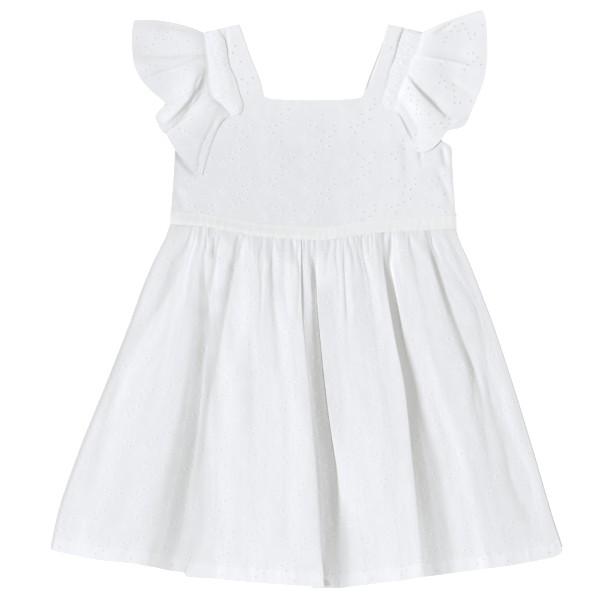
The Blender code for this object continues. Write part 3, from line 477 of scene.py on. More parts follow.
def front_skirt(downs, columns):
    """Points of the panel, and where each lies on the flat cloth."""
    across_table = column(FOLD_LINES, "across").T
    rise_table = column(FOLD_LINES, "rise").T
    hem_y = eased(LINE_AT, column(FOLD_LINES, "hem_y"), columns)
    top = skirt_top(eased(LINE_AT, across_table[0], columns))
    x, y, z, across = np.empty((4, len(downs), len(columns)))
    for row, down in enumerate(downs):
        across[row] = eased(LINE_AT, eased(FOLD_DOWNS, across_table, down), columns)
        x[row] = skirt_x(down, across[row])
        y[row] = top + (hem_y - top) * down
        z[row] = eased(LINE_AT, eased(FOLD_DOWNS, rise_table, down), columns)
    u, v = np.meshgrid(cloth_distance(columns), SKIRT_LENGTH * (1 - downs))
    taper = side_taper(across, SKIRT_WIDTH, roll=10.0)
    z -= crease_relief(x, y, CREASES) * np.minimum(1, taper + 0.3)
    z += taper * (0.5 * ripple(u, v * 0.35, 19.0, 3.0) + 0.12 * ripple(u, v * 0.6, 7.0, 5.0))
    below_waist = SKIRT_LENGTH - v
    fine_gathers = ripple(u, v * 0.08, 3.2, 71.0) + 0.5 * ripple(u, v * 0.12, 1.7, 73.0)
    in_the_middle = np.clip(1.7 - np.abs(2 * across - 1.02) * 1.8, 0.05, 1)
    fading = np.exp(-((below_waist / GATHER_REACH) ** 1.5))
    z += taper * in_the_middle * GATHER_HEIGHT * fine_gathers * fading
    hem = 1 / (1 + np.exp((v - HEM_DEPTH) / 0.5))
    pucker = ripple(u * 1.6, v * 0.25, 6.0, 9.0) * np.exp(-(((v - 7) / 7) ** 2))
    z += HEM_STEP * hem + taper * HEM_PUCKER * pucker
    z -= HEM_GROOVE * np.exp(-(((v - HEM_DEPTH) / 0.9) ** 2))
    points = np.stack([x, y, np.maximum(z, 0.0) + FRONT_LEVEL + OVER_BACK_FOLDS], -1)
    return with_walls(points, np.stack([u, v], -1), SEAM_EDGE)


def cloth_distance(columns):
    """How far across the flat cloth each column lies, from the way over the folds at three heights
    and the whole length of the hem."""
    fine = np.linspace(0, LINE_AT[-1], 2000)
    width = SKIRT_OUTLINE[-1].right - SKIRT_OUTLINE[-1].left
    across_table, rise_table = column(FOLD_LINES, "across"), column(FOLD_LINES, "rise")
    paths = []
    for level in (-5, -4, -3, -1):
        across, rise = (eased(LINE_AT, t[:, level], fine) for t in (across_table, rise_table))
        paths.append(np.hypot(np.diff(across) * width, np.diff(rise)))
    along = np.concatenate([[0], np.cumsum(np.mean(paths[:3], axis=0))])
    return np.interp(columns, fine, along / along[-1] * paths[3].sum())


def with_walls(points, places, level, edges=(0, -1)):
    """The sheet again, with a column more at those edges that goes straight down to a level, as a
    seam does to the sheet below."""
    for edge in edges:
        foot, place = points[:, edge].copy(), 2 * places[:, edge] - places[:, (1, -2)[edge]]
        foot[:, 2] = level
        where = 0 if edge == 0 else points.shape[1]
        points = np.insert(points, where, foot, axis=1)
        places = np.insert(places, where, place, axis=1)
    return points, places


def loop_values(mesh, field):
    """One number for each corner of the mesh's faces."""
    values = np.empty(len(mesh.loops), np.int32)
    mesh.loops.foreach_get(field, values)
    return values


def thicken(piece):
    """Gives a sheet the cotton's thickness, half to each side."""
    wall = piece.modifiers.new("thickness", "SOLIDIFY")
    wall.thickness = CLOTH * MM
    wall.offset = 0.0


def cotton_sheet(name, grid, places, material, skip=None, layers=0.0):
    """A thin shell of cotton through a grid of points, with its own map of the flat cloth. Its paleness
    values make the colour paler where the cloth is doubled, and in places are painted light and shade."""
    rows, columns = grid.shape[:2]
    number = np.arange(rows * columns).reshape(rows, columns)
    quads = np.stack([number[1:, :-1], number[1:, 1:], number[:-1, 1:], number[:-1, :-1]], -1)
    kept = np.ones(quads.shape[:2], bool) if skip is None else ~skip
    points = grid.reshape(-1, 3) + (*WAIST_MIDDLE, 0.0)
    mesh = bpy.data.meshes.new(name)
    mesh.from_pydata((points * MM).tolist(), [], quads[kept].tolist())
    cloth = mesh.uv_layers.new(name="cloth")
    corners = loop_values(mesh, "vertex_index")
    cloth.data.foreach_set("uv", (places.reshape(-1, 2)[corners] * MM).ravel())
    mesh.materials.append(material)
    paler = mesh.attributes.new("layers", "FLOAT", "POINT")
    layers = np.broadcast_to(layers, (rows, columns)).ravel()
    paler.data.foreach_set("value", layers.astype(np.float32))
    mesh.shade_smooth()
    mesh.set_sharp_from_angle(angle=SHARP_FOLD)
    faces_beside = np.zeros(len(mesh.edges), np.int32)
    np.add.at(faces_beside, loop_values(mesh, "edge_index"), 1)
    sharp = mesh.attributes.get("sharp_edge")
    if sharp is None:
        sharp = mesh.attributes.new("sharp_edge", "BOOLEAN", "EDGE")
    folded = np.empty(len(mesh.edges), bool)
    sharp.data.foreach_get("value", folded)
    sharp.data.foreach_set("value", folded | (faces_beside == 1))
    piece = bpy.data.objects.new(name, mesh)
    bpy.context.scene.collection.objects.link(piece)
    thicken(piece)
    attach(piece, "root")
    return piece


class Shade:
    """A socket that Python's arithmetic works on, by adding Math nodes."""

    def __init__(self, tree, socket):
        self.tree, self.socket = tree, socket

    def node(self, kind, settings=(), inputs=(), out=0):
        """Adds a node, sets it up, and gives it its values or links."""
        made = self.tree.nodes.new(kind)
        for name, value in dict(settings).items():
            setattr(made, name, value)
        for name, value in dict(inputs).items():
            if isinstance(value, Shade):
                self.tree.links.new(value.socket, made.inputs[name])
            else:
                made.inputs[name].default_value = value
        return Shade(self.tree, made.outputs[out])

    def maths(self, operation, other):
        return self.node("ShaderNodeMath", {"operation": operation}, {0: self, 1: other})

    def __add__(self, other):
        return self.maths("ADD", other)

    def __sub__(self, other):
        return self.maths("SUBTRACT", other)

    def __mul__(self, other):
        return self.maths("MULTIPLY", other)


def new_finish(name):
    """An empty material, with its shader and a socket to start from."""
    material = bpy.data.materials.new(name)
    material.use_nodes = True
    tree = material.node_tree
    return material, tree.nodes["Principled BSDF"], Shade(tree, None)


THREADS, PATCHES = 1600.0, 90.0  # to the metre
SLUB, PATCHINESS, PALER_BY = 0.024, 0.03, 0.05  # shares of the colour
WEAVE_DEPTH = 0.06 * MM


def cotton(name, colour):
    """Batiste: fine crossing threads, some of them thicker, and a soft matt nap."""
    material, shader, start = new_finish(name)
    tree = material.node_tree
    cloth = start.node("ShaderNodeUVMap", {"uv_map": "cloth"})
    u = start.node("ShaderNodeSeparateXYZ", (), {0: cloth})
    v = Shade(tree, u.socket.node.outputs[1])

    def threads(stretch_u, stretch_v, scale):
        along = start.node("ShaderNodeCombineXYZ", (), {0: u * stretch_u, 1: v * stretch_v})
        return start.node(
            "ShaderNodeTexNoise",
            {"noise_dimensions": "2D"},
            {"Vector": along, "Scale": scale, "Detail": 1.0, "Roughness": 0.5},
        )

    warp, weft = threads(1.0, 0.06, THREADS), threads(0.06, 1.0, THREADS)
    patches = threads(1.0, 1.0, PATCHES)
    # Paler colour where the cloth is doubled; in places the same values are painted light and painted
    # shade.
    layers = start.node("ShaderNodeAttribute", {"attribute_name": "layers"}, out=2)
    tone = (warp + weft - 1.0) * SLUB + (patches - 0.5) * PATCHINESS + layers * PALER_BY + 1.0
    tint = start.node("ShaderNodeVectorMath", {"operation": "SCALE"}, {0: colour, "Scale": tone})
    tree.links.new(tint.socket, shader.inputs["Base Color"])
    relief = {"Strength": 0.35, "Distance": WEAVE_DEPTH, "Height": warp + weft}
    bump = start.node("ShaderNodeBump", (), relief)
    tree.links.new(bump.socket, shader.inputs["Normal"])
    shader.inputs["Roughness"].default_value = 0.92
    shader.inputs["Specular IOR Level"].default_value = 0.25
    shader.inputs["Sheen Weight"].default_value = 0.12
    shader.inputs["Sheen Roughness"].default_value = 0.6
    return material


white_cotton = cotton("white_batiste", (0.80, 0.802, 0.765))
creamy_cotton = cotton("band_batiste", (0.828, 0.834, 0.775))

# White thread is worked over all the cloth in one small repeat: stars of eight raised petals, and
# between them round eyelets with a rolled rim. Rows of small stitches hold the hems and the seams.
REPEAT, FIRST_STAR = (38.6, 25.2), (30.9, 8.1)
# How far to the right of a star and above it its eyelets lie. Two sets of them take turns.
EYELETS = [
    table(
        "right up",
        (22.6, -7.6), (16.2, -10.5), (10.5, -13.3), (4.4, -15.2), (8.4, -20), (15.1, -2.4), (27.4, 6.7),
    ),
    table(
        "right up",
        (4.6, -13.3), (10.7, -15.2), (17, -19.9), (22.6, -23.7), (15.8, -3.3), (26.6, -13.3),
    ),
]
PETAL_START, LONG_PETAL, SHORT_PETAL, PETAL_HALF_WIDTH = 0.9, 5.6, 4.8, 0.55
EYELET_RINGS = table("radius height", (1.75, 0), (1.3, 0.2), (0.85, 0.05))
HOLE_HEIGHT = 0.04
STAR_REACH, EYELET_REACH = 5.4, 1.9
THREAD_HEIGHT, THREAD_OFF_GROUND = 0.2, 0.02
STITCH_STEP, STITCH_HALF_LENGTH, STITCH_HALF_WIDTH, STITCH_HEIGHT = 3.0, 1.0, 0.3, 0.24


def turned(right, up, turn):
    """Places on the flat cloth, turned about a motif's middle."""
    cos, sin = math.cos(turn), math.sin(turn)
    return right * cos - up * sin, right * sin + up * cos


def raised_stitch(start, end, half_width, height, turn=0.0):
    """A stitch as a low pyramid over a long diamond, from start to end along one direction."""
    middle = (start + end) / 2
    foot = [(start, 0.0, 0.0), (middle, -half_width, 0.0), (end, 0.0, 0.0), (middle, half_width, 0.0)]
    points = [(*turned(right, up, turn), h) for right, up, h in (*foot, (middle, 0.0, height))]
    return np.array(points), [(0, 1, 4), (1, 2, 4), (2, 3, 4), (3, 0, 4)], [0] * 4


def star_motif():
    """Eight raised petals round an open middle, long and short in turn."""
    points, faces = [], []
    for petal in range(8):
        end = SHORT_PETAL if petal % 2 else LONG_PETAL
        turn = math.pi / 4 * petal
        shape, sides, _ = raised_stitch(PETAL_START, end, PETAL_HALF_WIDTH, THREAD_HEIGHT, turn)
        faces += [tuple(5 * petal + corner for corner in side) for side in sides]
        points.append(shape)
    return np.concatenate(points), faces, [0] * len(faces)


def eyelet_motif():
    """A rolled rim of thread round a hole, a flat disc with the second finish, of painted shade."""
    turns = np.arange(8) * math.pi / 4
    points = [(r * math.cos(t), r * math.sin(t), h) for r, h in EYELET_RINGS for t in turns]
    points.append((0, 0, HOLE_HEIGHT))
    faces = []
    for i in range(8):
        j = (i + 1) % 8
        faces += [(i, j, 8 + j, 8 + i), (8 + i, 8 + j, 16 + j, 16 + i), (16 + i, 16 + j, 24)]
    return np.array(points), faces, [0, 0, 1] * 8


def sampled(field, row, col):
    """Values between the points of a grid."""
    r = np.clip(row.astype(int), 0, field.shape[0] - 2)
    c = np.clip(col.astype(int), 0, field.shape[1] - 2)
    down, over = (row - r)[..., None], (col - c)[..., None]
    upper = field[r, c] * (1 - over) + field[r, c + 1] * over
    lower = field[r + 1, c] * (1 - over) + field[r + 1, c + 1] * over
    return upper * (1 - down) + lower * down


thread_finish, thread_shader, _ = new_finish("white_thread")
thread_shader.inputs["Base Color"].default_value = (0.85, 0.852, 0.82, 1)
thread_shader.inputs["Roughness"].default_value = 0.7
# An eyelet's hole is a grey disc of painted shade for the cloth behind it in shadow, darker where the
# next layer of cloth lies close behind it.
hole_painted_shade_finishes = {}
for cloth_behind, shade in (("close", 0.62), ("far", 0.69)):
    hole_painted_shade_finishes[cloth_behind], hole_painted_shade_shader, _ = new_finish(f"eyelet_hole_{cloth_behind}")
    hole_painted_shade_shader.inputs["Base Color"].default_value = (shade, shade, shade * 0.98, 1)
    hole_painted_shade_shader.inputs["Roughness"].default_value = 0.95


def repeat_places(us, vs):
    """Where the stars and the eyelets of the repeat lie on the flat cloth."""
    stars, holes = [], []
    for i in range(math.ceil(us[0] / REPEAT[0]) - 1, int(us[-1] / REPEAT[0]) + 2):
        for j in range(math.ceil(vs[-1] / REPEAT[1]) - 1, int(vs[0] / REPEAT[1]) + 2):
            u, v = i * REPEAT[0] + FIRST_STAR[0], j * REPEAT[1] + FIRST_STAR[1]
            stars.append((u, v, 0.0, STAR_REACH))
            holes += [(u + e.right, v + e.up, 0.0, EYELET_REACH) for e in EYELETS[(i + j) % 2]]
    return stars, holes


def stitch_places(seams):
    """Where each stitch lies along the seams, and which way it points."""
    stitches = []
    for seam in seams:
        path = np.array(seam, float)
        length = np.concatenate([[0], np.cumsum(np.hypot(*np.diff(path, axis=0).T))])
        for along in np.arange(STITCH_STEP / 2, length[-1] - 1, STITCH_STEP):
            u, v = (np.interp(along, length, path[:, k]) for k in (0, 1))
            ahead = [np.interp(along + 0.5, length, path[:, k]) for k in (0, 1)]
            stitches.append((u, v, math.atan2(ahead[1] - v, ahead[0] - u), 0.0))
    return stitches


def embroidery(name, points, places, seams, facing=1.0, bare=None, top=math.inf):
    """Works the repeat over a panel up to its top, and stitches along its seams, each a list of
    places. The panel faces down where facing is -1, and bare says where no motif goes."""
    us, vs = places[0, :, 0], places[:, 0, 1]
    down, along = np.gradient(points, axis=0), np.gradient(points, axis=1)
    normals = np.cross(down, along)
    stretch = np.linalg.norm(along, axis=-1) / np.maximum(np.gradient(us), 1e-6)
    normals /= np.maximum(np.linalg.norm(normals, axis=-1, keepdims=True), 1e-9)
    quarter = len(us) // 4
    normals *= facing * np.sign(normals[:, quarter : 2 * quarter, 2].mean())
    handed = int(np.sign(np.einsum("ijk,ijk->ij", np.cross(along, -down), normals).mean()))

    def grid_place(u, v):
        return np.interp(-v, -vs, np.arange(len(vs))), np.interp(u, us, np.arange(len(us)))

    def can_be_worked(u, v, reach):
        """Whether a motif lies on the panel, where the cloth is neither steep nor stretched."""
        row, col = grid_place(u, v)
        in_width = us[1] + reach < u < us[-2] - reach
        in_height = vs[-1] + reach < v < min(vs[0], top) - reach
        unstretched = 0.6 < sampled(stretch[..., None], row, col)[0] < 1.3
        level = abs(sampled(normals, row, col)[2]) > 0.6
        return in_width and in_height and unstretched and level and not (bare and bare(u, v, reach))

    stars, holes = repeat_places(us, vs)
    stitch = raised_stitch(-STITCH_HALF_LENGTH, STITCH_HALF_LENGTH, STITCH_HALF_WIDTH, STITCH_HEIGHT)
    work = ((star_motif(), stars), (eyelet_motif(), holes), (stitch, stitch_places(seams)))
    all_points, all_faces, finishes, count = [], [], [], 0
    for (shape, faces, finish), spots in work:
        for u, v, turn, reach in spots:
            if reach and not can_be_worked(u, v, reach):
                continue
            right, up = turned(shape[:, 0], shape[:, 1], turn)
            row, col = grid_place(u + right, v + up)
            lift = (shape[:, 2] + CLOTH / 2)[:, None]
            all_points.append(sampled(points, row, col) + sampled(normals, row, col) * lift)
            all_faces += [tuple(count + corner for corner in face[::handed]) for face in faces]
            finishes += finish
            count += len(shape)
    where = np.concatenate(all_points) + (*WAIST_MIDDLE, 0.0)
    where[:, 2] = np.maximum(where[:, 2], THREAD_OFF_GROUND)
    mesh = bpy.data.meshes.new(name)
    mesh.from_pydata((where * MM).tolist(), [], all_faces)
    mesh.materials.append(thread_finish)
    mesh.materials.append(hole_painted_shade_finishes["far" if "skirt" in name else "close"])
    mesh.polygons.foreach_set("material_index", finishes)
    piece = bpy.data.objects.new(name, mesh)
    bpy.context.scene.collection.objects.link(piece)
    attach(piece, "root")
    return piece


def hem_line(places, height):
    """A row of stitches from side to side."""
    us = places[0, :, 0]
    return [(us[1] + 1, height), (us[-2] - 1, height)]


def hem_layers(height):
    """The turned hem is paler, and so is the cloth a little way above it."""
    return 0.65 * (height < HEM_DEPTH) + 0.5 * np.exp(-np.maximum(height - HEM_DEPTH, 0) / 20)


def flat_size(places):
    """The width and the length of the flat cloth in metres."""
    width, length = places[0, -1, 0] - places[0, 0, 0], places[0, 0, 1] - places[-1, 0, 1]
    return float(width) * MM, float(length) * MM


def skirt_panel(side, points, places, layers, under, **how):
    """The cotton panel with its embroidery and its hem's stitches. under is not used."""
    panel = cotton_sheet(f"{side}_skirt", points, places, white_cotton, layers=layers)
    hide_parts(f"skirt_{side}")
    hem = hem_line(places, HEM_DEPTH)
    work = embroidery(f"{side}_skirt_embroidery", points, places, [hem], **how)
    flat = flat_size(places)


# The rows lie closer together in the gathers and in the hem.
SKIRT_ROWS = np.interp(np.linspace(0, 1, 84), [0, 0.12, 0.44, 0.83, 1], [0, 0.03, 0.27, 0.94, 1])
SKIRT_COLUMNS = np.linspace(0, LINE_AT[-1], 541)
front_points, front_places = front_skirt(SKIRT_ROWS, SKIRT_COLUMNS)
# Painted shade darkens the gathers just below the waistband, more so at the left; the turned hem is
# paler.
painted_gather_shade = np.exp(-(((SKIRT_LENGTH - front_places[..., 1]) / 15) ** 2))
painted_gather_shade *= 0.92 - 0.6 * front_places[..., 0] / front_places[0, -1, 0]
front_hem_and_painted_shade = hem_layers(front_places[..., 1]) - painted_gather_shade
skirt_panel("front", front_points, front_places, front_hem_and_painted_shade, "back_skirt", top=SKIRT_LENGTH - 8)

# --- Back skirt -----------------------------------------------------------------------------------
# The same cotton panel behind, with the same gathers and stitched hem. It lies on the ground under
# the front one, its folds are pressed nearly flat, and its hem stays just out of sight.

BACK_SEAMS_HIGHER = 1.5
HEM_LEFT_CORNER, HEM_RIGHT_CORNER = FOLD_LINES[0].hem_y, FOLD_LINES[-1].hem_y
HEM_SAG, HEM_HIDDEN = 34.0, 4.0
BACK_ROWS, BACK_COLUMNS = 80, 260


def back_skirt():
    """Points of the panel and their places on the cloth, with the front's folds much flatter."""
    downs, across = np.linspace(0, 1, BACK_ROWS) ** 1.2, np.linspace(0, 1, BACK_COLUMNS)
    x, y = np.empty((2, BACK_ROWS, BACK_COLUMNS))
    top = skirt_top(across, BACK_SEAMS_HIGHER)
    corner = HEM_LEFT_CORNER + (HEM_RIGHT_CORNER - HEM_LEFT_CORNER) * across
    bottom = corner - HEM_SAG * np.sin(math.pi * across) ** 0.85 + HEM_HIDDEN
    for row, down in enumerate(downs):
        x[row], y[row] = skirt_x(down, across), top + (bottom - top) * down
    u, v = np.meshgrid(across * front_places[0, -1, 0], SKIRT_LENGTH * (1 - downs))
    taper = side_taper(across, SKIRT_WIDTH)
    folds = crease_relief(5.0 - 0.98 * x, 1.03 * y, CREASES)
    z = 0.5 + taper * (1.4 * (1 - np.exp(-0.7 * folds)) + 0.25 * ripple(u, v * 0.3, 25.0, 41.0))
    return np.stack([x, y, z], -1), np.stack([u, v], -1)


back_points, back_places = back_skirt()
back_layers = hem_layers(back_places[..., 1])
skirt_panel("back", back_points, back_places, back_layers, "floor", facing=-1.0)

# --- Bodice ---------------------------------------------------------------------------------------
# A front and a back of the same cotton, each cut in one with its two wide shoulder straps. The neck
# and the armholes have narrow turned edges.

BODICE_LEVELS = table(
    "height half_width",
    (0, 135.2), (18, 134.2), (36, 133), (54, 132), (71.5, 131.4), (75.5, 129.8), (78.8, 124.8),
    (83, 118.2), (89.5, 111), (99, 104.4), (110, 99.8), (123.5, 97.2),
)
NECK_HEIGHT = 123.5
NECK_LEFT, NECK_RIGHT = -47.1, 45.6
NECK_DIP = 3.6
BACK_NECK_LOWER = 5.0
EDGE_LIFT = 1.4  # of the back's right strap, where it shows beside the front one
EDGE_FOOT = BACK_LEVEL + 0.3  # the height at which the front's edges meet the back
OFF_THE_REPEAT = 2000  # keeps the bodice's part of the weave apart from the skirt's
STRAP_LEVELS = table(
    "up outer inner",
    (0, 97.2, 46.3), (0.2, 96.8, 50.2), (0.55, 99.2, 59.8), (0.85, 101.6, 67), (0.97, 102.6, 69.9),
    (1, 102.4, 70.9),
)
SHOULDER_OUTER_Y, SHOULDER_INNER_Y = 184.8, 192.0
STRAP_HEIGHTS = (0, 0.22, 0.5, 0.78, 1)
# How far the inner edge of each strap lies inward of the table at those heights.
FRONT_STRAPS_INWARD = {-1: (0, 0, 0, 0, 0), 1: (0, -4.4, -3.6, -1.7, -0.3)}
BACK_STRAPS_INWARD = {-1: (0, 0.5, 0.6, 0.6, 0.6), 1: (0, -1.1, -0.7, -0.8, 0)}

# Wrinkles that run any way over a sheet. Each point of a course gives x, y, how wide the wrinkle is
# on its left and on its right, and how high it stands.
BODICE_WRINKLES = {
    "beside the right heading": [
        (88.3, 193.9, 1.1, 1.3, -0.3), (86.7, 187.2, 1.1, 1.5, -1.3), (83.1, 175.8, 1.1, 1.7, -1.8),
        (79.3, 160.6, 1, 1.5, -1.6), (75.5, 152.1, 0.9, 1.3, -1), (71.7, 140.7, 0.9, 1.1, -0.6),
        (67.4, 123.6, 0.9, 1.1, -0.3),
    ],
    "beside the left heading": [
        (-82.7, 186.3, 1.3, 1.5, -0.4), (-81.4, 176.8, 1.3, 1.5, -0.6),
        (-80.5, 163.5, 1.3, 1.3, -0.2), (-78.9, 152.1, 1.3, 1.3, 0),
    ],
    "wrinkle at the armhole": [
        (122, 78, 2.1, 2.1, 0), (123.4, 70.4, 2.3, 2.3, -1.3), (124.9, 62.8, 2.3, 2.3, -1.1),
        (127.2, 55.2, 1.9, 1.9, 0),
    ],
    "short wrinkle": [
        (101.6, 76.1, 1.5, 1.5, 0), (101.9, 68.5, 1.6, 1.6, -1), (102.5, 60.9, 1.5, 1.5, -0.4),
        (103.5, 53.3, 1.5, 1.5, 0),
    ],
    "slanting wrinkle": [
        (116.8, 59, 2.8, 2.8, 0), (121.5, 45.7, 3.8, 2.8, -0.6), (127.2, 32.4, 3.8, 2.8, -0.7),
        (132, 17.2, 2.8, 2.8, -0.3),
    ],
    "long soft wrinkle": [
        (86.4, 76.1, 4.8, 3.8, -0.6), (88.3, 58, 6.6, 3.8, -0.5), (89.2, 34.3, 6.6, 3.8, 0),
    ],
    "hollow below the left sleeve": [
        (-132.1, 72.3, 4.8, 2.8, -0.6), (-122.6, 60.9, 5.7, 2.8, -1.6),
        (-114.1, 52.3, 4.8, 2.8, -1.3), (-105.5, 47.6, 3.8, 2.8, -0.3),
    ],
    "wrinkle at the left side": [
        (-130.2, 38.1, 3.8, 3.8, 0), (-125.5, 24.8, 5.7, 3.8, -0.5), (-120.7, 11.5, 5.7, 3.8, -0.2),
    ],
}


def wrinkle_relief(x, y, wrinkles):
    """How far the wrinkles lift a sheet at each point."""
    relief = np.zeros_like(x)
    for course in map(np.array, wrinkles.values()):
        keys = np.arange(len(course))
        fine = eased(keys, course, np.linspace(0, keys[-1], 12 * keys[-1] + 1))
        reach = 3 * fine[:, 2:4].max()
        low, high = fine[:, :2].min(0) - reach, fine[:, :2].max(0) + reach
        near = (x > low[0]) & (x < high[0]) & (y > low[1]) & (y < high[1])
        if not near.any():
            continue
        away_x, away_y = x[near][:, None] - fine[:, 0], y[near][:, None] - fine[:, 1]
        nearest = np.argmin(away_x**2 + away_y**2, axis=1)
        each = np.arange(len(nearest))
        away_x, away_y = away_x[each, nearest], away_y[each, nearest]
        run = np.gradient(fine[:, :2], axis=0)[nearest]
        on_left = run[:, 0] * away_y - run[:, 1] * away_x > 0
        width = np.where(on_left, fine[nearest, 2], fine[nearest, 3])
        relief[near] += fine[nearest, 4] * np.exp(-((np.hypot(away_x, away_y) / width) ** 1.8))
    return relief


def bodice_outer(y):
    """Half the width of the front at each height, up to the shoulder."""
    body = read_off(BODICE_LEVELS, "height", "half_width", y)
    up = (y - NECK_HEIGHT) / (SHOULDER_OUTER_Y - NECK_HEIGHT)
    return np.where(y < NECK_HEIGHT, body, read_off(STRAP_LEVELS, "up", "outer", up))


def front_bodice_z(x, y, wrinkled=True):
    """The height of the front, which sags between its sides and rolls under at its edges."""
    inside = bodice_outer(y) - np.abs(x)
    neck = np.clip((NECK_HEIGHT - y) / 40, 0, 1)
    sag = 0.9 + neck * (0.9 * (x / 130) ** 2 + 0.006 * x - 0.1)
    sag -= np.where(x > 0, 0.45, -0.3) * np.exp(-((inside / 1.3) ** 2))
    bumps = 0.3 * ripple(x, y, 22.0, 31.0) + 0.1 * ripple(x, y, 7.0, 33.0)
    relief = wrinkle_relief(x, y, BODICE_WRINKLES if wrinkled else {})
    return FRONT_LEVEL + np.maximum(-0.5, sag + (bumps + relief) * np.clip(inside / 3, 0.2, 1))


def back_bodice_z(x, y):
    """The height of the back, pressed nearly flat on the ground."""
    dents = 0.4 * ripple(x, y, 24.0, 51.0) + 0.4 * wrinkle_relief(-x, y, BODICE_WRINKLES)
    return BACK_LEVEL + np.clip(dents, -0.2, 0.4)


def bodice_body(neck_lower, seam_higher):
    """The part below the straps, as a grid of x and y."""
    heights = np.linspace(-1.5, NECK_HEIGHT, 90)
    half = read_off(BODICE_LEVELS, "height", "half_width", heights)
    x = half[:, None] * np.linspace(-1, 1, 160)
    up = (heights / NECK_HEIGHT)[:, None]
    y = heights[:, None] + (waist_y(x) + seam_higher) * (1 - up) ** 2
    neck = np.clip((x - NECK_LEFT) / (NECK_RIGHT - NECK_LEFT), 0, 1)
    arch = neck * (1 - neck)
    dip = NECK_DIP * (4 * arch) ** 0.35 + neck_lower * np.minimum(1, 6 * arch)
    return x, y - dip * up**4


def strap(side, inward_by):
    """One strap, as a grid of x and y with more columns at its inner edge."""
    up = np.linspace(0, 1, 40)
    inward = np.concatenate([np.linspace(0, 0.94, 28), [0.955, 0.97, 0.985, 1]])
    outer = read_off(STRAP_LEVELS, "up", "outer", up)[:, None]
    inner = read_off(STRAP_LEVELS, "up", "inner", up) - eased(STRAP_HEIGHTS, inward_by[side], up)
    x = side * (outer + (inner[:, None] - outer) * inward)
    top = SHOULDER_OUTER_Y + (SHOULDER_INNER_Y - SHOULDER_OUTER_Y) * inward
    return x, NECK_HEIGHT + (top - NECK_HEIGHT) * up[:, None]


def bodice_painted_light(grid):
    """Painted light: paler up towards the straps and on the right below the neck, darker over all."""
    x, y = grid[..., 0], grid[..., 1]
    lined = 0.75 * np.clip((y - 70) / 45, 0, 1) + 0.75 * np.clip((y - 118) / 30, 0, 1)
    return lined - 0.35 + 0.65 * np.clip((x - 15) / 40, 0, 1) * (1 - np.clip((y - 100) / 30, 0, 1))


def joined(name, sheets, material):
    """Several grids made one piece where they meet."""
    parts = [
        cotton_sheet(f"{name}_{i}", grid, places, material, layers=bodice_painted_light(grid))
        for i, (grid, places) in enumerate(sheets)
    ]
    bpy.ops.object.select_all(action="DESELECT")
    for part in parts:
        part.modifiers.clear()
        part.select_set(True)
    bpy.context.view_layer.objects.active = parts[0]
    bpy.ops.object.join()
    piece = bpy.context.view_layer.objects.active
    piece.name = name
    bpy.ops.object.mode_set(mode="EDIT")
    bpy.ops.mesh.select_all(action="SELECT")
    bpy.ops.mesh.remove_doubles(threshold=0.00002)
    bpy.ops.mesh.normals_make_consistent(inside=False)
    bpy.ops.object.mode_set(mode="OBJECT")
    thicken(piece)
    return piece


def bodice(side):
    """The front or the back, from its body and its two straps."""
    front = side == "front"
    body = bodice_body(0.0, 0.0) if front else bodice_body(BACK_NECK_LOWER, BACK_SEAMS_HIGHER)
    inward = FRONT_STRAPS_INWARD if front else BACK_STRAPS_INWARD
    parts = {"body": body, "left strap": strap(-1, inward), "right strap": strap(1, inward)}
    sheets = []
    for part, (x, y) in parts.items():
        z = front_bodice_z(x, y) if front else back_bodice_z(x, y)
        if part == "right strap" and not front:
            at_edge = np.exp(-(((x - x[:, -1:]) / 1.3) ** 2))
            z = z + EDGE_LIFT * at_edge * np.clip((y - NECK_HEIGHT) / 8, 0, 1)
        points, places = np.stack([x, y, z], -1), np.stack([x, OFF_THE_REPEAT + y], -1)
        if front:
            points, places = with_walls(points, places, EDGE_FOOT)
        if front and part != "body":
            turned = with_walls(points.swapaxes(0, 1), places.swapaxes(0, 1), EDGE_FOOT, (-1,))
            points, places = (grid.swapaxes(0, 1) for grid in turned)
        sheets.append((points, places))
    return joined(f"{side}_bodice", sheets, white_cotton)


def embroidered_grid(height_of):
    """The upright grid that the embroidery is worked over."""
    x, y = np.meshgrid(np.linspace(-134, 134, 220), np.linspace(193, -1, 170))
    return np.stack([x, y, height_of(x, y)], -1), np.stack([x, y], -1)


# How far to each side the sleeves leave the bodice bare, at each height.
SLEEVES_COVER = table(
    "y left right",
    (40, -140, 140), (48, -106, 140), (68, -98, 104), (78, -93, 92), (103, -80, 76), (112, -66, 65),
    (140, -72, 71), (190, -90, 86),
)


def off_the_back(x, y, reach):
    """Whether a motif would lie over the neck, an edge or the waist seam."""
    up = (y - NECK_HEIGHT) / (SHOULDER_OUTER_Y - NECK_HEIGHT)
    inner = float(read_off(STRAP_LEVELS, "up", "inner", up))
    in_neck = y > NECK_HEIGHT - 10 - reach and -inner - reach - 2 < x < inner + reach + 6
    beyond = abs(x) > bodice_outer(y) - reach - 1.5 or y < waist_y(x) + 1.5 or y > 182 - reach
    return in_neck or beyond


def off_the_front(x, y, reach):
    """As off_the_back, or under a sleeve."""
    heights = column(SLEEVES_COVER, "y")
    left, right = (np.interp(y, heights, column(SLEEVES_COVER, f)) for f in ("left", "right"))
    return off_the_back(x, y, reach) or not left + reach + 1 < x < right - reach - 1


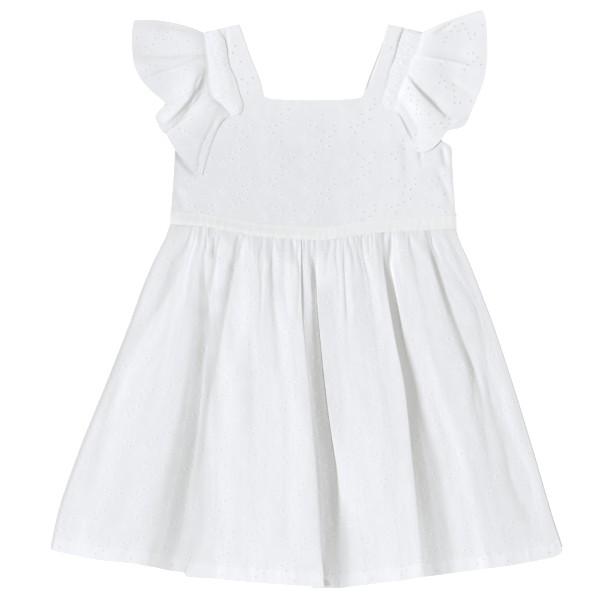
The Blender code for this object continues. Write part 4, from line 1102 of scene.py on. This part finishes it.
bodice_front, bodice_back = bodice("front"), bodice("back")
neck_line = [(x, NECK_HEIGHT - NECK_DIP - 2.6) for x in (-44, 42)]
back_neck_line = [(x, y - BACK_NECK_LOWER) for x, y in neck_line]
strap_lines = [[(side * x, y) for x, y in ((56, 127), (62.5, 155), (73, 186))] for side in (-1, 1)]
front_work = embroidery(
    "front_bodice_embroidery",
    *embroidered_grid(front_bodice_z),
    [neck_line, *strap_lines],
    bare=off_the_front,
)
back_work = embroidery(
    "back_bodice_embroidery",
    *embroidered_grid(back_bodice_z),
    [back_neck_line, *strap_lines],
    facing=-1.0,
    bare=off_the_back,
)
for piece, side, under, work in (
    (bodice_front, "front", "back_bodice", front_work),
    (bodice_back, "back", "floor", back_work),
):
    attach(piece, "root")
    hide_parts(f"bodice_{side}")

# --- Waistband ------------------------------------------------------------------------------------
# A straight strip over the waist seam on each side, with its edges turned in and sewn down. It is
# creamier than the rest because four layers of cotton lie in it.

BAND_HALF = 136
BAND_RISE, BAND_RISES_OVER = 2.35, 9.0
BAND_ON_BODICE = 0.24


def waistband(side):
    """The band's points and their places on the cloth."""
    x, share = np.meshgrid(np.linspace(-BAND_HALF, BAND_HALF, 220), np.linspace(-0.06, 1.06, 15))
    seam_higher = BACK_SEAMS_HIGHER if side == "back" else 0.0
    y = waist_y(x) + seam_higher - share * BAND_HEIGHT
    places = np.stack([x, OFF_THE_REPEAT + y], -1)
    if side == "back":
        z = BACK_LEVEL + 0.2 * ripple(x * 1.5, y * 0.3, 5.0, 61.0)
        return np.stack([x, y, z], -1), places
    width, across = 2 * BAND_HALF, (x + BAND_HALF) / (2 * BAND_HALF)
    over_bodice = front_bodice_z(x, y, wrinkled=False) + BAND_ON_BODICE
    rises = np.clip(share * BAND_HEIGHT / BAND_RISES_OVER, 0, 1)
    z = FRONT_LEVEL + 0.1 + BAND_RISE * (0.8 + 0.2 * side_taper(across, width))
    z = over_bodice + (z - over_bodice) * rises * rises * (3 - 2 * rises)
    puckers = 0.16 * ripple(x * 1.5, y * 0.3, 5.0, 21.0)
    puckers += 0.1 * ripple(x * 2.6, y * 0.3, 5.0, 23.0)
    z += puckers * side_taper(across, width, 6.0) * (0.5 + np.clip(share, 0, 1))
    z -= 0.25 * np.exp(-(((1 - share) * BAND_HEIGHT / 0.7) ** 2))
    return with_walls(np.stack([x, y, z], -1), places, BACK_LEVEL + 0.4)


for side, under in (("front", "back_waistband"), ("back", "floor")):
    points, places = waistband(side)
    # The band is darker towards its left end.
    darker_left_end = -0.15 * np.exp(-(((points[..., 0] + 115) / 45) ** 2))
    band = cotton_sheet(f"{side}_waistband", points, places, creamy_cotton, layers=darker_left_end)
    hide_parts(f"waistband_{side}")

# --- Flutter sleeves ------------------------------------------------------------------------------
# Over each shoulder, one strip folded double. It is gathered on a line of stitches a little inside
# its edge, so that a puckered heading stands on the strap and the rest flutters out in waves.

LEFT_FLUTTER = table(
    "name seam_x seam_y hem_x hem_y bow lift",
    ("shoulder fold", -103.5, 183.4, -170.6, 195.8, 4.6, 0),
    ("upper panel", -102.8, 175, -172.4, 182, 3, 1.8),
    ("upper trough", -101.8, 166, -172, 167, 0, 1.4),
    ("first crest", -100.8, 160, -171, 156.5, 0, 2.2),
    ("below the crest", -99.8, 153, -166.2, 143.4, 0, 2),
    ("upper lobe", -99.5, 145.5, -155.4, 129.4, 0, 2.2),
    ("lobe lip", -99.3, 139, -141.4, 116.4, 0, 2.4),
    ("lobe, tucked under", -98.6, 132.5, -147, 109.5, 0, 1.8),
    ("deep fold", -97, 126, -150.2, 104, 0, 1.6),
    ("deep fold, lower side", -93, 119.8, -143.4, 89.4, 4, 1.8),
    ("lower lobe, crest", -87.5, 116, -141, 88, 6, 1.9),
    ("lower lobe", -83.5, 112, -129.6, 70.4, 7, 1.5),
    ("small trough", -80.6, 108.6, -117.6, 58.4, 8, 0.8),
    ("end crest", -78.6, 106, -109.4, 50, 11, 0.3),
    ("lower end", -79.6, 103, -105, 48.6, 13, 0),
)
RIGHT_FLUTTER = table(
    "name seam_x seam_y hem_x hem_y bow lift",
    ("shoulder fold", 102.6, 184.2, 160.6, 206.2, 1.6, 0),
    ("upper panel", 101.6, 178.6, 163.8, 197, 1, 1.6),
    ("upper trough", 99.8, 171, 165.2, 178.6, 0, 1.8),
    ("above the crest", 97, 164.4, 165.4, 163, 0, 2),
    ("first crest", 93.1, 157, 163.4, 145, 4, 2),
    ("below the crest", 91.2, 151, 158.6, 128.5, 3, 1.9),
    ("broad lobe", 89.6, 146.6, 151.2, 111, 2, 2),
    ("lobe lip", 88.4, 143, 147.2, 101.4, 2, 2.2),
    ("deep fold", 86.4, 138.6, 143.4, 95.2, 0.6, 2.2),
    ("lower crest", 84, 132, 137.6, 92.6, 0, 2.2),
    ("lower lobe", 82.2, 127, 128.4, 90.6, 0, 1.8),
    ("notch at the armhole", 81.4, 122.4, 121.4, 82, 0, 0.8),
    ("lower panel", 80.6, 118.2, 112.6, 73.4, 0, 0.3),
    ("pointed tip", 79.6, 114.4, 101.8, 69.6, 1, 0.1),
    ("lower end", 77.4, 110.6, 93.6, 76.6, 3, 0),
)
LEFT_FREE_EDGE = table(
    "ray x y",
    (0, -90, 188.4), (1, -84.4, 178), (2, -82.2, 168), (4, -79.8, 153), (6, -74.2, 141),
    (8, -70.2, 126.5), (11, -66.8, 115), (13, -67.6, 109), (14, -71.6, 105.6),
)
RIGHT_FREE_EDGE = table(
    "ray x y",
    (0, 86.2, 188.6), (2, 81.2, 173.5), (4, 77.2, 158.4), (6, 72.6, 147.5), (8, 71.2, 137),
    (10, 66.8, 126.5), (12, 65, 118.5), (13, 66.2, 114), (14, 70, 110),
)
LEFT_BACK_RAYS = table(
    "seam_x seam_y hem_x hem_y",
    (-103.4, 168, -168.6, 168), (-102, 156, -164, 146), (-100.6, 142, -149, 128),
    (-99.2, 124, -137, 114),
)
RIGHT_BACK_RAYS = table(
    "seam_x seam_y hem_x hem_y",
    (103.2, 170, 162, 176), (101.6, 158, 161, 152), (100.2, 142, 152, 122), (99, 124, 140, 100),
)
LEFT_WRINKLES = {
    "first ridge": [
        (-173, 153, 3.8, 8.5, 1), (-158.7, 153, 3.8, 8.5, 1.4), (-142.6, 155.9, 3.8, 6.6, 1.4),
        (-123.6, 158.7, 2.8, 4.8, 1.1), (-104.6, 162.5, 1.9, 2.8, 0.3),
    ],
    "hollow above the ridge": [
        (-173, 163.5, 3.8, 2.8, 0), (-159.7, 162.5, 4.8, 3.3, -0.7),
        (-140.7, 161.6, 3.8, 2.8, -0.8), (-121.7, 162.5, 3.8, 2.8, -0.7),
        (-103.6, 167.3, 1.9, 1.9, 0),
    ],
    "crease below the ridge": [
        (-168.2, 140.7, 1.5, 2.8, 0), (-154.9, 142.6, 1.6, 2.8, -0.8),
        (-139.7, 147.3, 1.5, 2.8, -1), (-122.6, 153, 1.4, 2.8, -0.8), (-104.6, 158.7, 1.3, 1.9, 0),
    ],
    "upper lobe rises": [
        (-103.6, 152.1, 2.8, 13.3, 0), (-107.4, 138.8, 2.3, 13.3, 2), (-114.1, 125.5, 2.3, 14.2, 3),
        (-124.5, 113.1, 2.3, 13.3, 3), (-134, 103.6, 2.3, 11.4, 2.2), (-142.6, 97, 2.8, 9.5, 0.8),
    ],
    "deep crease": [
        (-99.8, 146.4, 4.8, 1.9, 0), (-102.3, 131.2, 5.7, 2.1, -1.2),
        (-107.9, 120.3, 6.6, 2.3, -1.8), (-116, 112.2, 6.6, 2.3, -1.9),
        (-121.7, 105.5, 5.7, 2.3, -1.4), (-126.9, 100.3, 4.8, 2.1, -0.7), (-132.1, 96, 3.8, 1.9, 0),
    ],
    "hollow beside the seam": [
        (-100.8, 152.1, 1.9, 2.8, 0), (-103.6, 142.6, 1.9, 3.8, -0.5),
        (-106.5, 131.2, 1.9, 3.8, -0.6), (-112.2, 119.8, 1.9, 3.8, 0),
    ],
    "its left branch": [
        (-104.6, 146.4, 1.4, 1.9, 0), (-108.9, 137.8, 1.4, 2.3, -1),
        (-113.1, 124.5, 1.4, 2.3, -0.9), (-119.8, 110.3, 1.4, 1.9, 0),
    ],
    "edge of the lower lobe": [
        (-91.3, 113.1, 0.9, 1.9, 0), (-100.8, 109.8, 0.9, 2.1, -0.8),
        (-114.1, 105.1, 0.9, 2.3, -1.1), (-128.3, 96.5, 0.9, 2.3, -1.2),
        (-140.7, 87.5, 0.9, 1.9, -0.6),
    ],
    "soft valley of the lower lobe": [
        (-89.4, 111.2, 3.8, 2.1, 0), (-97, 91.3, 4.8, 2.3, -0.8), (-103.6, 77, 4.8, 2.3, -0.9),
        (-107.4, 62.8, 3.8, 2.1, -0.7), (-109.3, 49.5, 2.8, 1.9, -0.3),
    ],
    "low ridge at the edge": [
        (-84.6, 100.8, 1.9, 2.8, 0), (-94.1, 83.7, 1.9, 2.8, 0.3), (-100.8, 67.5, 1.9, 2.8, 0.3),
        (-104.6, 51.4, 1.9, 1.9, 0.1),
    ],
    "soft hollow near the hem": [
        (-167.3, 176.8, 7.6, 7.6, -0.2), (-154.9, 173, 8.5, 8.5, -0.5),
        (-140.7, 174.9, 7.6, 7.6, 0),
    ],
}
RIGHT_WRINKLES = {
    "hollow under the top edge": [
        (113.9, 180.6, 1.9, 2.4, 0), (124.4, 188.2, 2.3, 2.8, -0.9), (136.7, 195.8, 2.3, 2.8, -0.9),
        (149.1, 199.6, 2.3, 2.8, -0.7), (162.4, 202.9, 1.9, 2.8, -0.4),
    ],
    "thin ridge": [
        (94.9, 159.2, 1.1, 1.5, 0), (105.4, 160.5, 1.3, 1.7, 0.7), (117.7, 158.9, 1.3, 1.9, 1),
        (132, 156.1, 1.4, 2.3, 1), (142.4, 154, 1.9, 2.8, 0.6), (154.8, 150.2, 1.9, 3.8, 0),
    ],
    "hollow above the ridge": [
        (99.7, 166.3, 5.7, 2.8, 0), (116.8, 166.3, 7.6, 3.8, -0.5), (135.8, 162.5, 7.6, 3.8, -0.6),
        (152.9, 159.7, 5.7, 3.8, 0),
    ],
    "lower lobe rises": [
        (86.5, 145.5, 1.9, 15.2, 0), (93.6, 135.2, 1.9, 19, 0.6), (101.2, 126.2, 1.9, 20.9, 1.1),
        (109.8, 117.3, 1.9, 19, 1.2), (118.5, 108.8, 1.9, 13.3, 0.8), (127.3, 101.7, 1.9, 7.6, 0),
    ],
    "main crease": [
        (88.3, 148.3, 5.7, 1.5, 0), (95.4, 137.4, 8.5, 1.5, -0.9), (103, 128.3, 10.4, 1.6, -1.7),
        (111.6, 119.5, 10.4, 1.6, -1.7), (120.3, 111, 8.5, 1.6, -1.1), (129.1, 103.8, 5.7, 1.5, 0),
    ],
    "second crease": [
        (80.7, 120.7, 6.6, 1.9, 0), (85, 107.4, 8.5, 2.8, -1.2), (88.1, 96, 9.5, 3, -1.5),
        (88.8, 86.5, 7.6, 2.8, -1.2), (86.4, 76.1, 5.7, 2.3, 0),
    ],
    "turned corner": [
        (130.1, 96, 1.9, 1.9, 0), (137.7, 99.8, 2.8, 1.9, 0.9), (143.4, 101.7, 2.8, 1.9, 0.6),
    ],
    "folds toward the hem": [
        (126.3, 142.6, 2.8, 3.8, 0), (137.7, 133.1, 3.8, 4.8, -0.5), (149.1, 125.5, 3.8, 4.8, -0.4),
        (155.7, 121.7, 2.8, 3.8, 0),
    ],
}
HEADING_WIDTH, FLUTTER_WIDTH = 17.0, 72.0  # of the strip, laid flat
HEADING_ROWS, FOLD_STEPS = 14, 10
RAY_COLUMNS, BACK_RAY_COLUMNS = 16, 6
HEADING_UP = np.linspace(1, 0.06, HEADING_ROWS)
FLUTTER_OUT = np.concatenate([np.linspace(0, 0.3, 20)[:-1], np.linspace(0.3, 1, 46)])
ARMHOLE_DROP = 40.0  # how far out the flutter comes down from the bodice to the ground


def sleeve_rest(x, y):
    """The height at which a sleeve rests on the front bodice or on its own back half."""
    beyond = np.abs(x) - bodice_outer(y)
    inside = np.clip(1 - beyond / ARMHOLE_DROP, 0, 1)
    inside = inside * inside * (3 - 2 * inside)
    half = np.minimum(np.abs(x), bodice_outer(y) - 2.0)
    over = front_bodice_z(np.copysign(half, x), y, wrinkled=False)
    return BACK_LEVEL + (over - BACK_LEVEL) * inside + CLOTH + 0.06


def along_rays(rays, place):
    """Each number of a table of rays, read smoothly at places between them."""
    numbers = [f for f in rays[0]._fields if f != "name"]
    return {f: eased(np.arange(len(rays)), column(rays, f), place) for f in numbers}


def across_rays(at, share):
    """The x and y at a share of the way out along every ray."""
    return (at[f"seam_{k}"] + (at[f"hem_{k}"] - at[f"seam_{k}"]) * share for k in "xy")


def puckers(place, along, size, seed):
    """The small waves that the gathering makes beside the line of stitches."""
    return ripple(place * 1.9, np.full_like(place, along), size, seed)


def heading_rows(at, place, ends, free_edge, rise, seed):
    """The puckered heading, from its free edge down to the line of stitches."""
    free_x, free_y = (read_off(free_edge, "ray", f, place) for f in ("x", "y"))
    outward = np.sign(free_x - at["seam_x"])
    uneven = 1.3 * ripple(place, np.zeros_like(place), 0.35, seed + 9)
    for share in HEADING_UP:
        x = at["seam_x"] + (free_x - at["seam_x"]) * share
        x = x + outward * (uneven * np.clip(share - 0.5, 0, 1))
        y = at["seam_y"] + (free_y - at["seam_y"]) * share
        wave = puckers(place, share * 0.5, 0.5, seed)
        wave += 0.6 * puckers(place, share * 0.7, 0.22, seed + 5)
        bumps = 0.3 * (1 + wave) + 0.4 * puckers(place, share * 2.2, 0.45, seed + 50)
        swell = eased([0, 0.7, 1], rise, share) + bumps * math.sin(math.pi * share)
        yield np.stack([x, y, sleeve_rest(x, y) + swell * ends], -1)


def flutter_rows(at, place, ends, wrinkles, seam_rise, curl, seed):
    """The flutter, from the line of stitches out to its hem."""
    for out in FLUTTER_OUT:
        x, y = across_rays(at, out)
        y = y + at["bow"] * 4 * out * (1 - out)
        wave = puckers(place, out * 1.6, 0.5, seed + 20)
        wave += 0.6 * puckers(place, out * 1.6, 0.2, seed + 25)
        wave *= 0.8 * math.exp(-out * 5)
        gathers = 0.3 * (1 + wave) * min(1.0, out / 0.06)
        billow = at["lift"] * math.sin(min(out / 0.35, 1) * math.pi / 2)
        billow = billow + 0.25 * ripple(x, y, 16.0, seed + 30) + wrinkle_relief(x, y, wrinkles)
        seam = seam_rise * math.exp(-((out / 0.45) ** 2))
        end_curl = curl * np.exp(-(((place[-1] - place) / 0.45) ** 1.5)) * math.sin(math.pi * out)
        lifted = (seam + np.maximum(billow, 0) + gathers) * ends + end_curl
        yield np.stack([x, y, sleeve_rest(x, y) + np.maximum(0, lifted)], -1)


def folded_under(front, place, rays, back_rays, seed):
    """Each row of the front half, carried round the fold at the shoulder and on as the back half."""
    ray = rays[0]
    length = math.hypot(ray.hem_x - ray.seam_x, ray.hem_y - ray.seam_y)
    past_x = -abs(ray.hem_y - ray.seam_y) / length * math.copysign(1.0, ray.seam_x)
    past_y = abs(ray.hem_x - ray.seam_x) / length
    past_shoulder, upward = np.array([past_x, past_y, 0.0]), np.array([0, 0, 1.0])
    back_place = np.arange((len(back_rays) - 1) * BACK_RAY_COLUMNS + 1) / BACK_RAY_COLUMNS
    back_at = along_rays(back_rays, back_place)
    near = np.clip(1 - place[::-1], 0, 1)[:, None]
    turn = math.pi * np.arange(1, FOLD_STEPS + 1)[:, None] / FOLD_STEPS
    for row, out in zip(front, np.concatenate([np.zeros(HEADING_ROWS), FLUTTER_OUT])):
        radius = (row[-1][2] - BACK_LEVEL) / 2
        row = row - near * radius * past_shoulder
        fold = row[-1] + radius * (np.sin(turn) * past_shoulder - (1 - np.cos(turn)) * upward)
        x, y = across_rays(back_at, out)
        gathers = 0.35 * math.exp(-2 * out) * ripple(back_place * 3, np.full_like(x, out), 0.5, seed)
        z = BACK_LEVEL + gathers + 0.15 * ripple(x, y, 14.0, seed + 40)
        yield np.concatenate([row, fold, np.stack([x, y, z], -1)])


def sleeve(side, rays, free_edge, back_rays, wrinkles, rise, curl, painted_light_paleness, seed):
    """One strip, with its heading, flutter, fold and back half. rise is how high the heading stands
    at its seam, near its free edge and at that edge, and curl lifts the flutter's lower end."""
    last = (len(rays) - 1) * RAY_COLUMNS
    place = np.arange(last + 1) / RAY_COLUMNS
    at = along_rays(rays, place)
    from_ends = np.minimum(place / 0.75, (place[-1] - place) / 1.8)
    ends = np.sin(np.clip(from_ends, 0, 1) * math.pi / 2)
    heading = heading_rows(at, place, ends, free_edge, rise, seed)
    flutter = flutter_rows(at, place, ends, wrinkles, rise[0], curl, seed)
    front = np.array([*heading, *flutter])[:, ::-1]
    points = np.array([*folded_under(front, place, rays, back_rays, seed)])
    hem_path = np.linalg.norm(np.diff(points[-1], axis=0), axis=1)
    across = np.concatenate([[0], np.cumsum(hem_path)])
    in_heading = FLUTTER_WIDTH + HEADING_WIDTH * HEADING_UP
    up = np.concatenate([in_heading, FLUTTER_WIDTH * (1 - FLUTTER_OUT)])
    u, v = np.meshgrid(across, up)
    places = np.stack([u, v], -1)
    # The doubled heading is paler; the flutter is painted paler as painted light, much more on the
    # right sleeve.
    layers = np.where(v > FLUTTER_WIDTH + 0.5, 1.5, painted_light_paleness)
    no_heading = np.zeros((len(points) - 1, points.shape[1] - 1), bool)
    no_heading[:HEADING_ROWS, last:] = True
    strip = cotton_sheet(f"{side}_sleeve", points, places, white_cotton, no_heading, layers)
    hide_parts(f"sleeve_{side}")
    hem = hem_line(places, 4.5)
    work = embroidery(f"{side}_sleeve_embroidery", points, places, [hem], top=FLUTTER_WIDTH)
    flat = flat_size(places)


# The right flutter is painted much paler than the left one, as painted light.
sleeve(
    "left",
    LEFT_FLUTTER,
    LEFT_FREE_EDGE,
    LEFT_BACK_RAYS,
    LEFT_WRINKLES,
    rise=(0.5, 0.7, 0.1),
    curl=0.0,
    painted_light_paleness=0.1,
    seed=1.0,
)
sleeve(
    "right",
    RIGHT_FLUTTER,
    RIGHT_FREE_EDGE,
    RIGHT_BACK_RAYS,
    RIGHT_WRINKLES,
    rise=(0.5, 0.4, 0.4),
    curl=1.6,
    painted_light_paleness=1.25,
    seed=2.0,
)

# --- Floor, light and camera ----------------------------------------------------------------------
# A plain white table under an even white sky, with one broad soft lamp low on the left that
# shades the folds. The camera looks straight down.

TABLE_WIDTH = 8.0
LIGHT_TOWARD = (1.45, 0.25, -1.0)
VIEW_MIDDLE, CAMERA_HEIGHT = (-0.0062, -0.0013), 3.0
VIEW_WIDTH, SENSOR_WIDTH = 0.570, 36.0

bpy.ops.object.select_all(action="DESELECT")
bpy.ops.mesh.primitive_plane_add(size=TABLE_WIDTH, location=(0, 0, 0))
floor = bpy.context.object
floor.name = "floor"
table_finish, table_shader, _ = new_finish("white_table")
table_shader.inputs["Base Color"].default_value = (0.95, 0.95, 0.95, 1)
table_shader.inputs["Roughness"].default_value = 0.9
table_shader.inputs["Emission Color"].default_value = (1, 1, 1, 1)
table_shader.inputs["Emission Strength"].default_value = 0.45
floor.data.materials.append(table_finish)
floor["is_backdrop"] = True

scene = bpy.context.scene
scene.view_settings.view_transform = "Standard"
world = bpy.data.worlds.new("studio")
scene.world = world
world.use_nodes = True
background = world.node_tree.nodes["Background"]
background.inputs["Color"].default_value = (0.98, 0.985, 1.0, 1)
background.inputs["Strength"].default_value = 0.64

key_light = bpy.data.lights.new("key_light", "SUN")
key_light.energy, key_light.angle, key_light.color = 2.18, 0.3, (0.95, 0.95, 1.13)
lamp = bpy.data.objects.new("key_light", key_light)
scene.collection.objects.link(lamp)
lamp.rotation_euler = Vector(LIGHT_TOWARD).to_track_quat("-Z", "Y").to_euler()

lens = bpy.data.cameras.new("camera")
lens.sensor_width = SENSOR_WIDTH
lens.lens = SENSOR_WIDTH * CAMERA_HEIGHT / VIEW_WIDTH
camera = bpy.data.objects.new("camera", lens)
scene.collection.objects.link(camera)
camera.location = (*VIEW_MIDDLE, CAMERA_HEIGHT)
scene.camera = camera

boxes = {"cad": cad_box, "visual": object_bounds()}
{k: [list(corner) for corner in box] for k, box in boxes.items()}
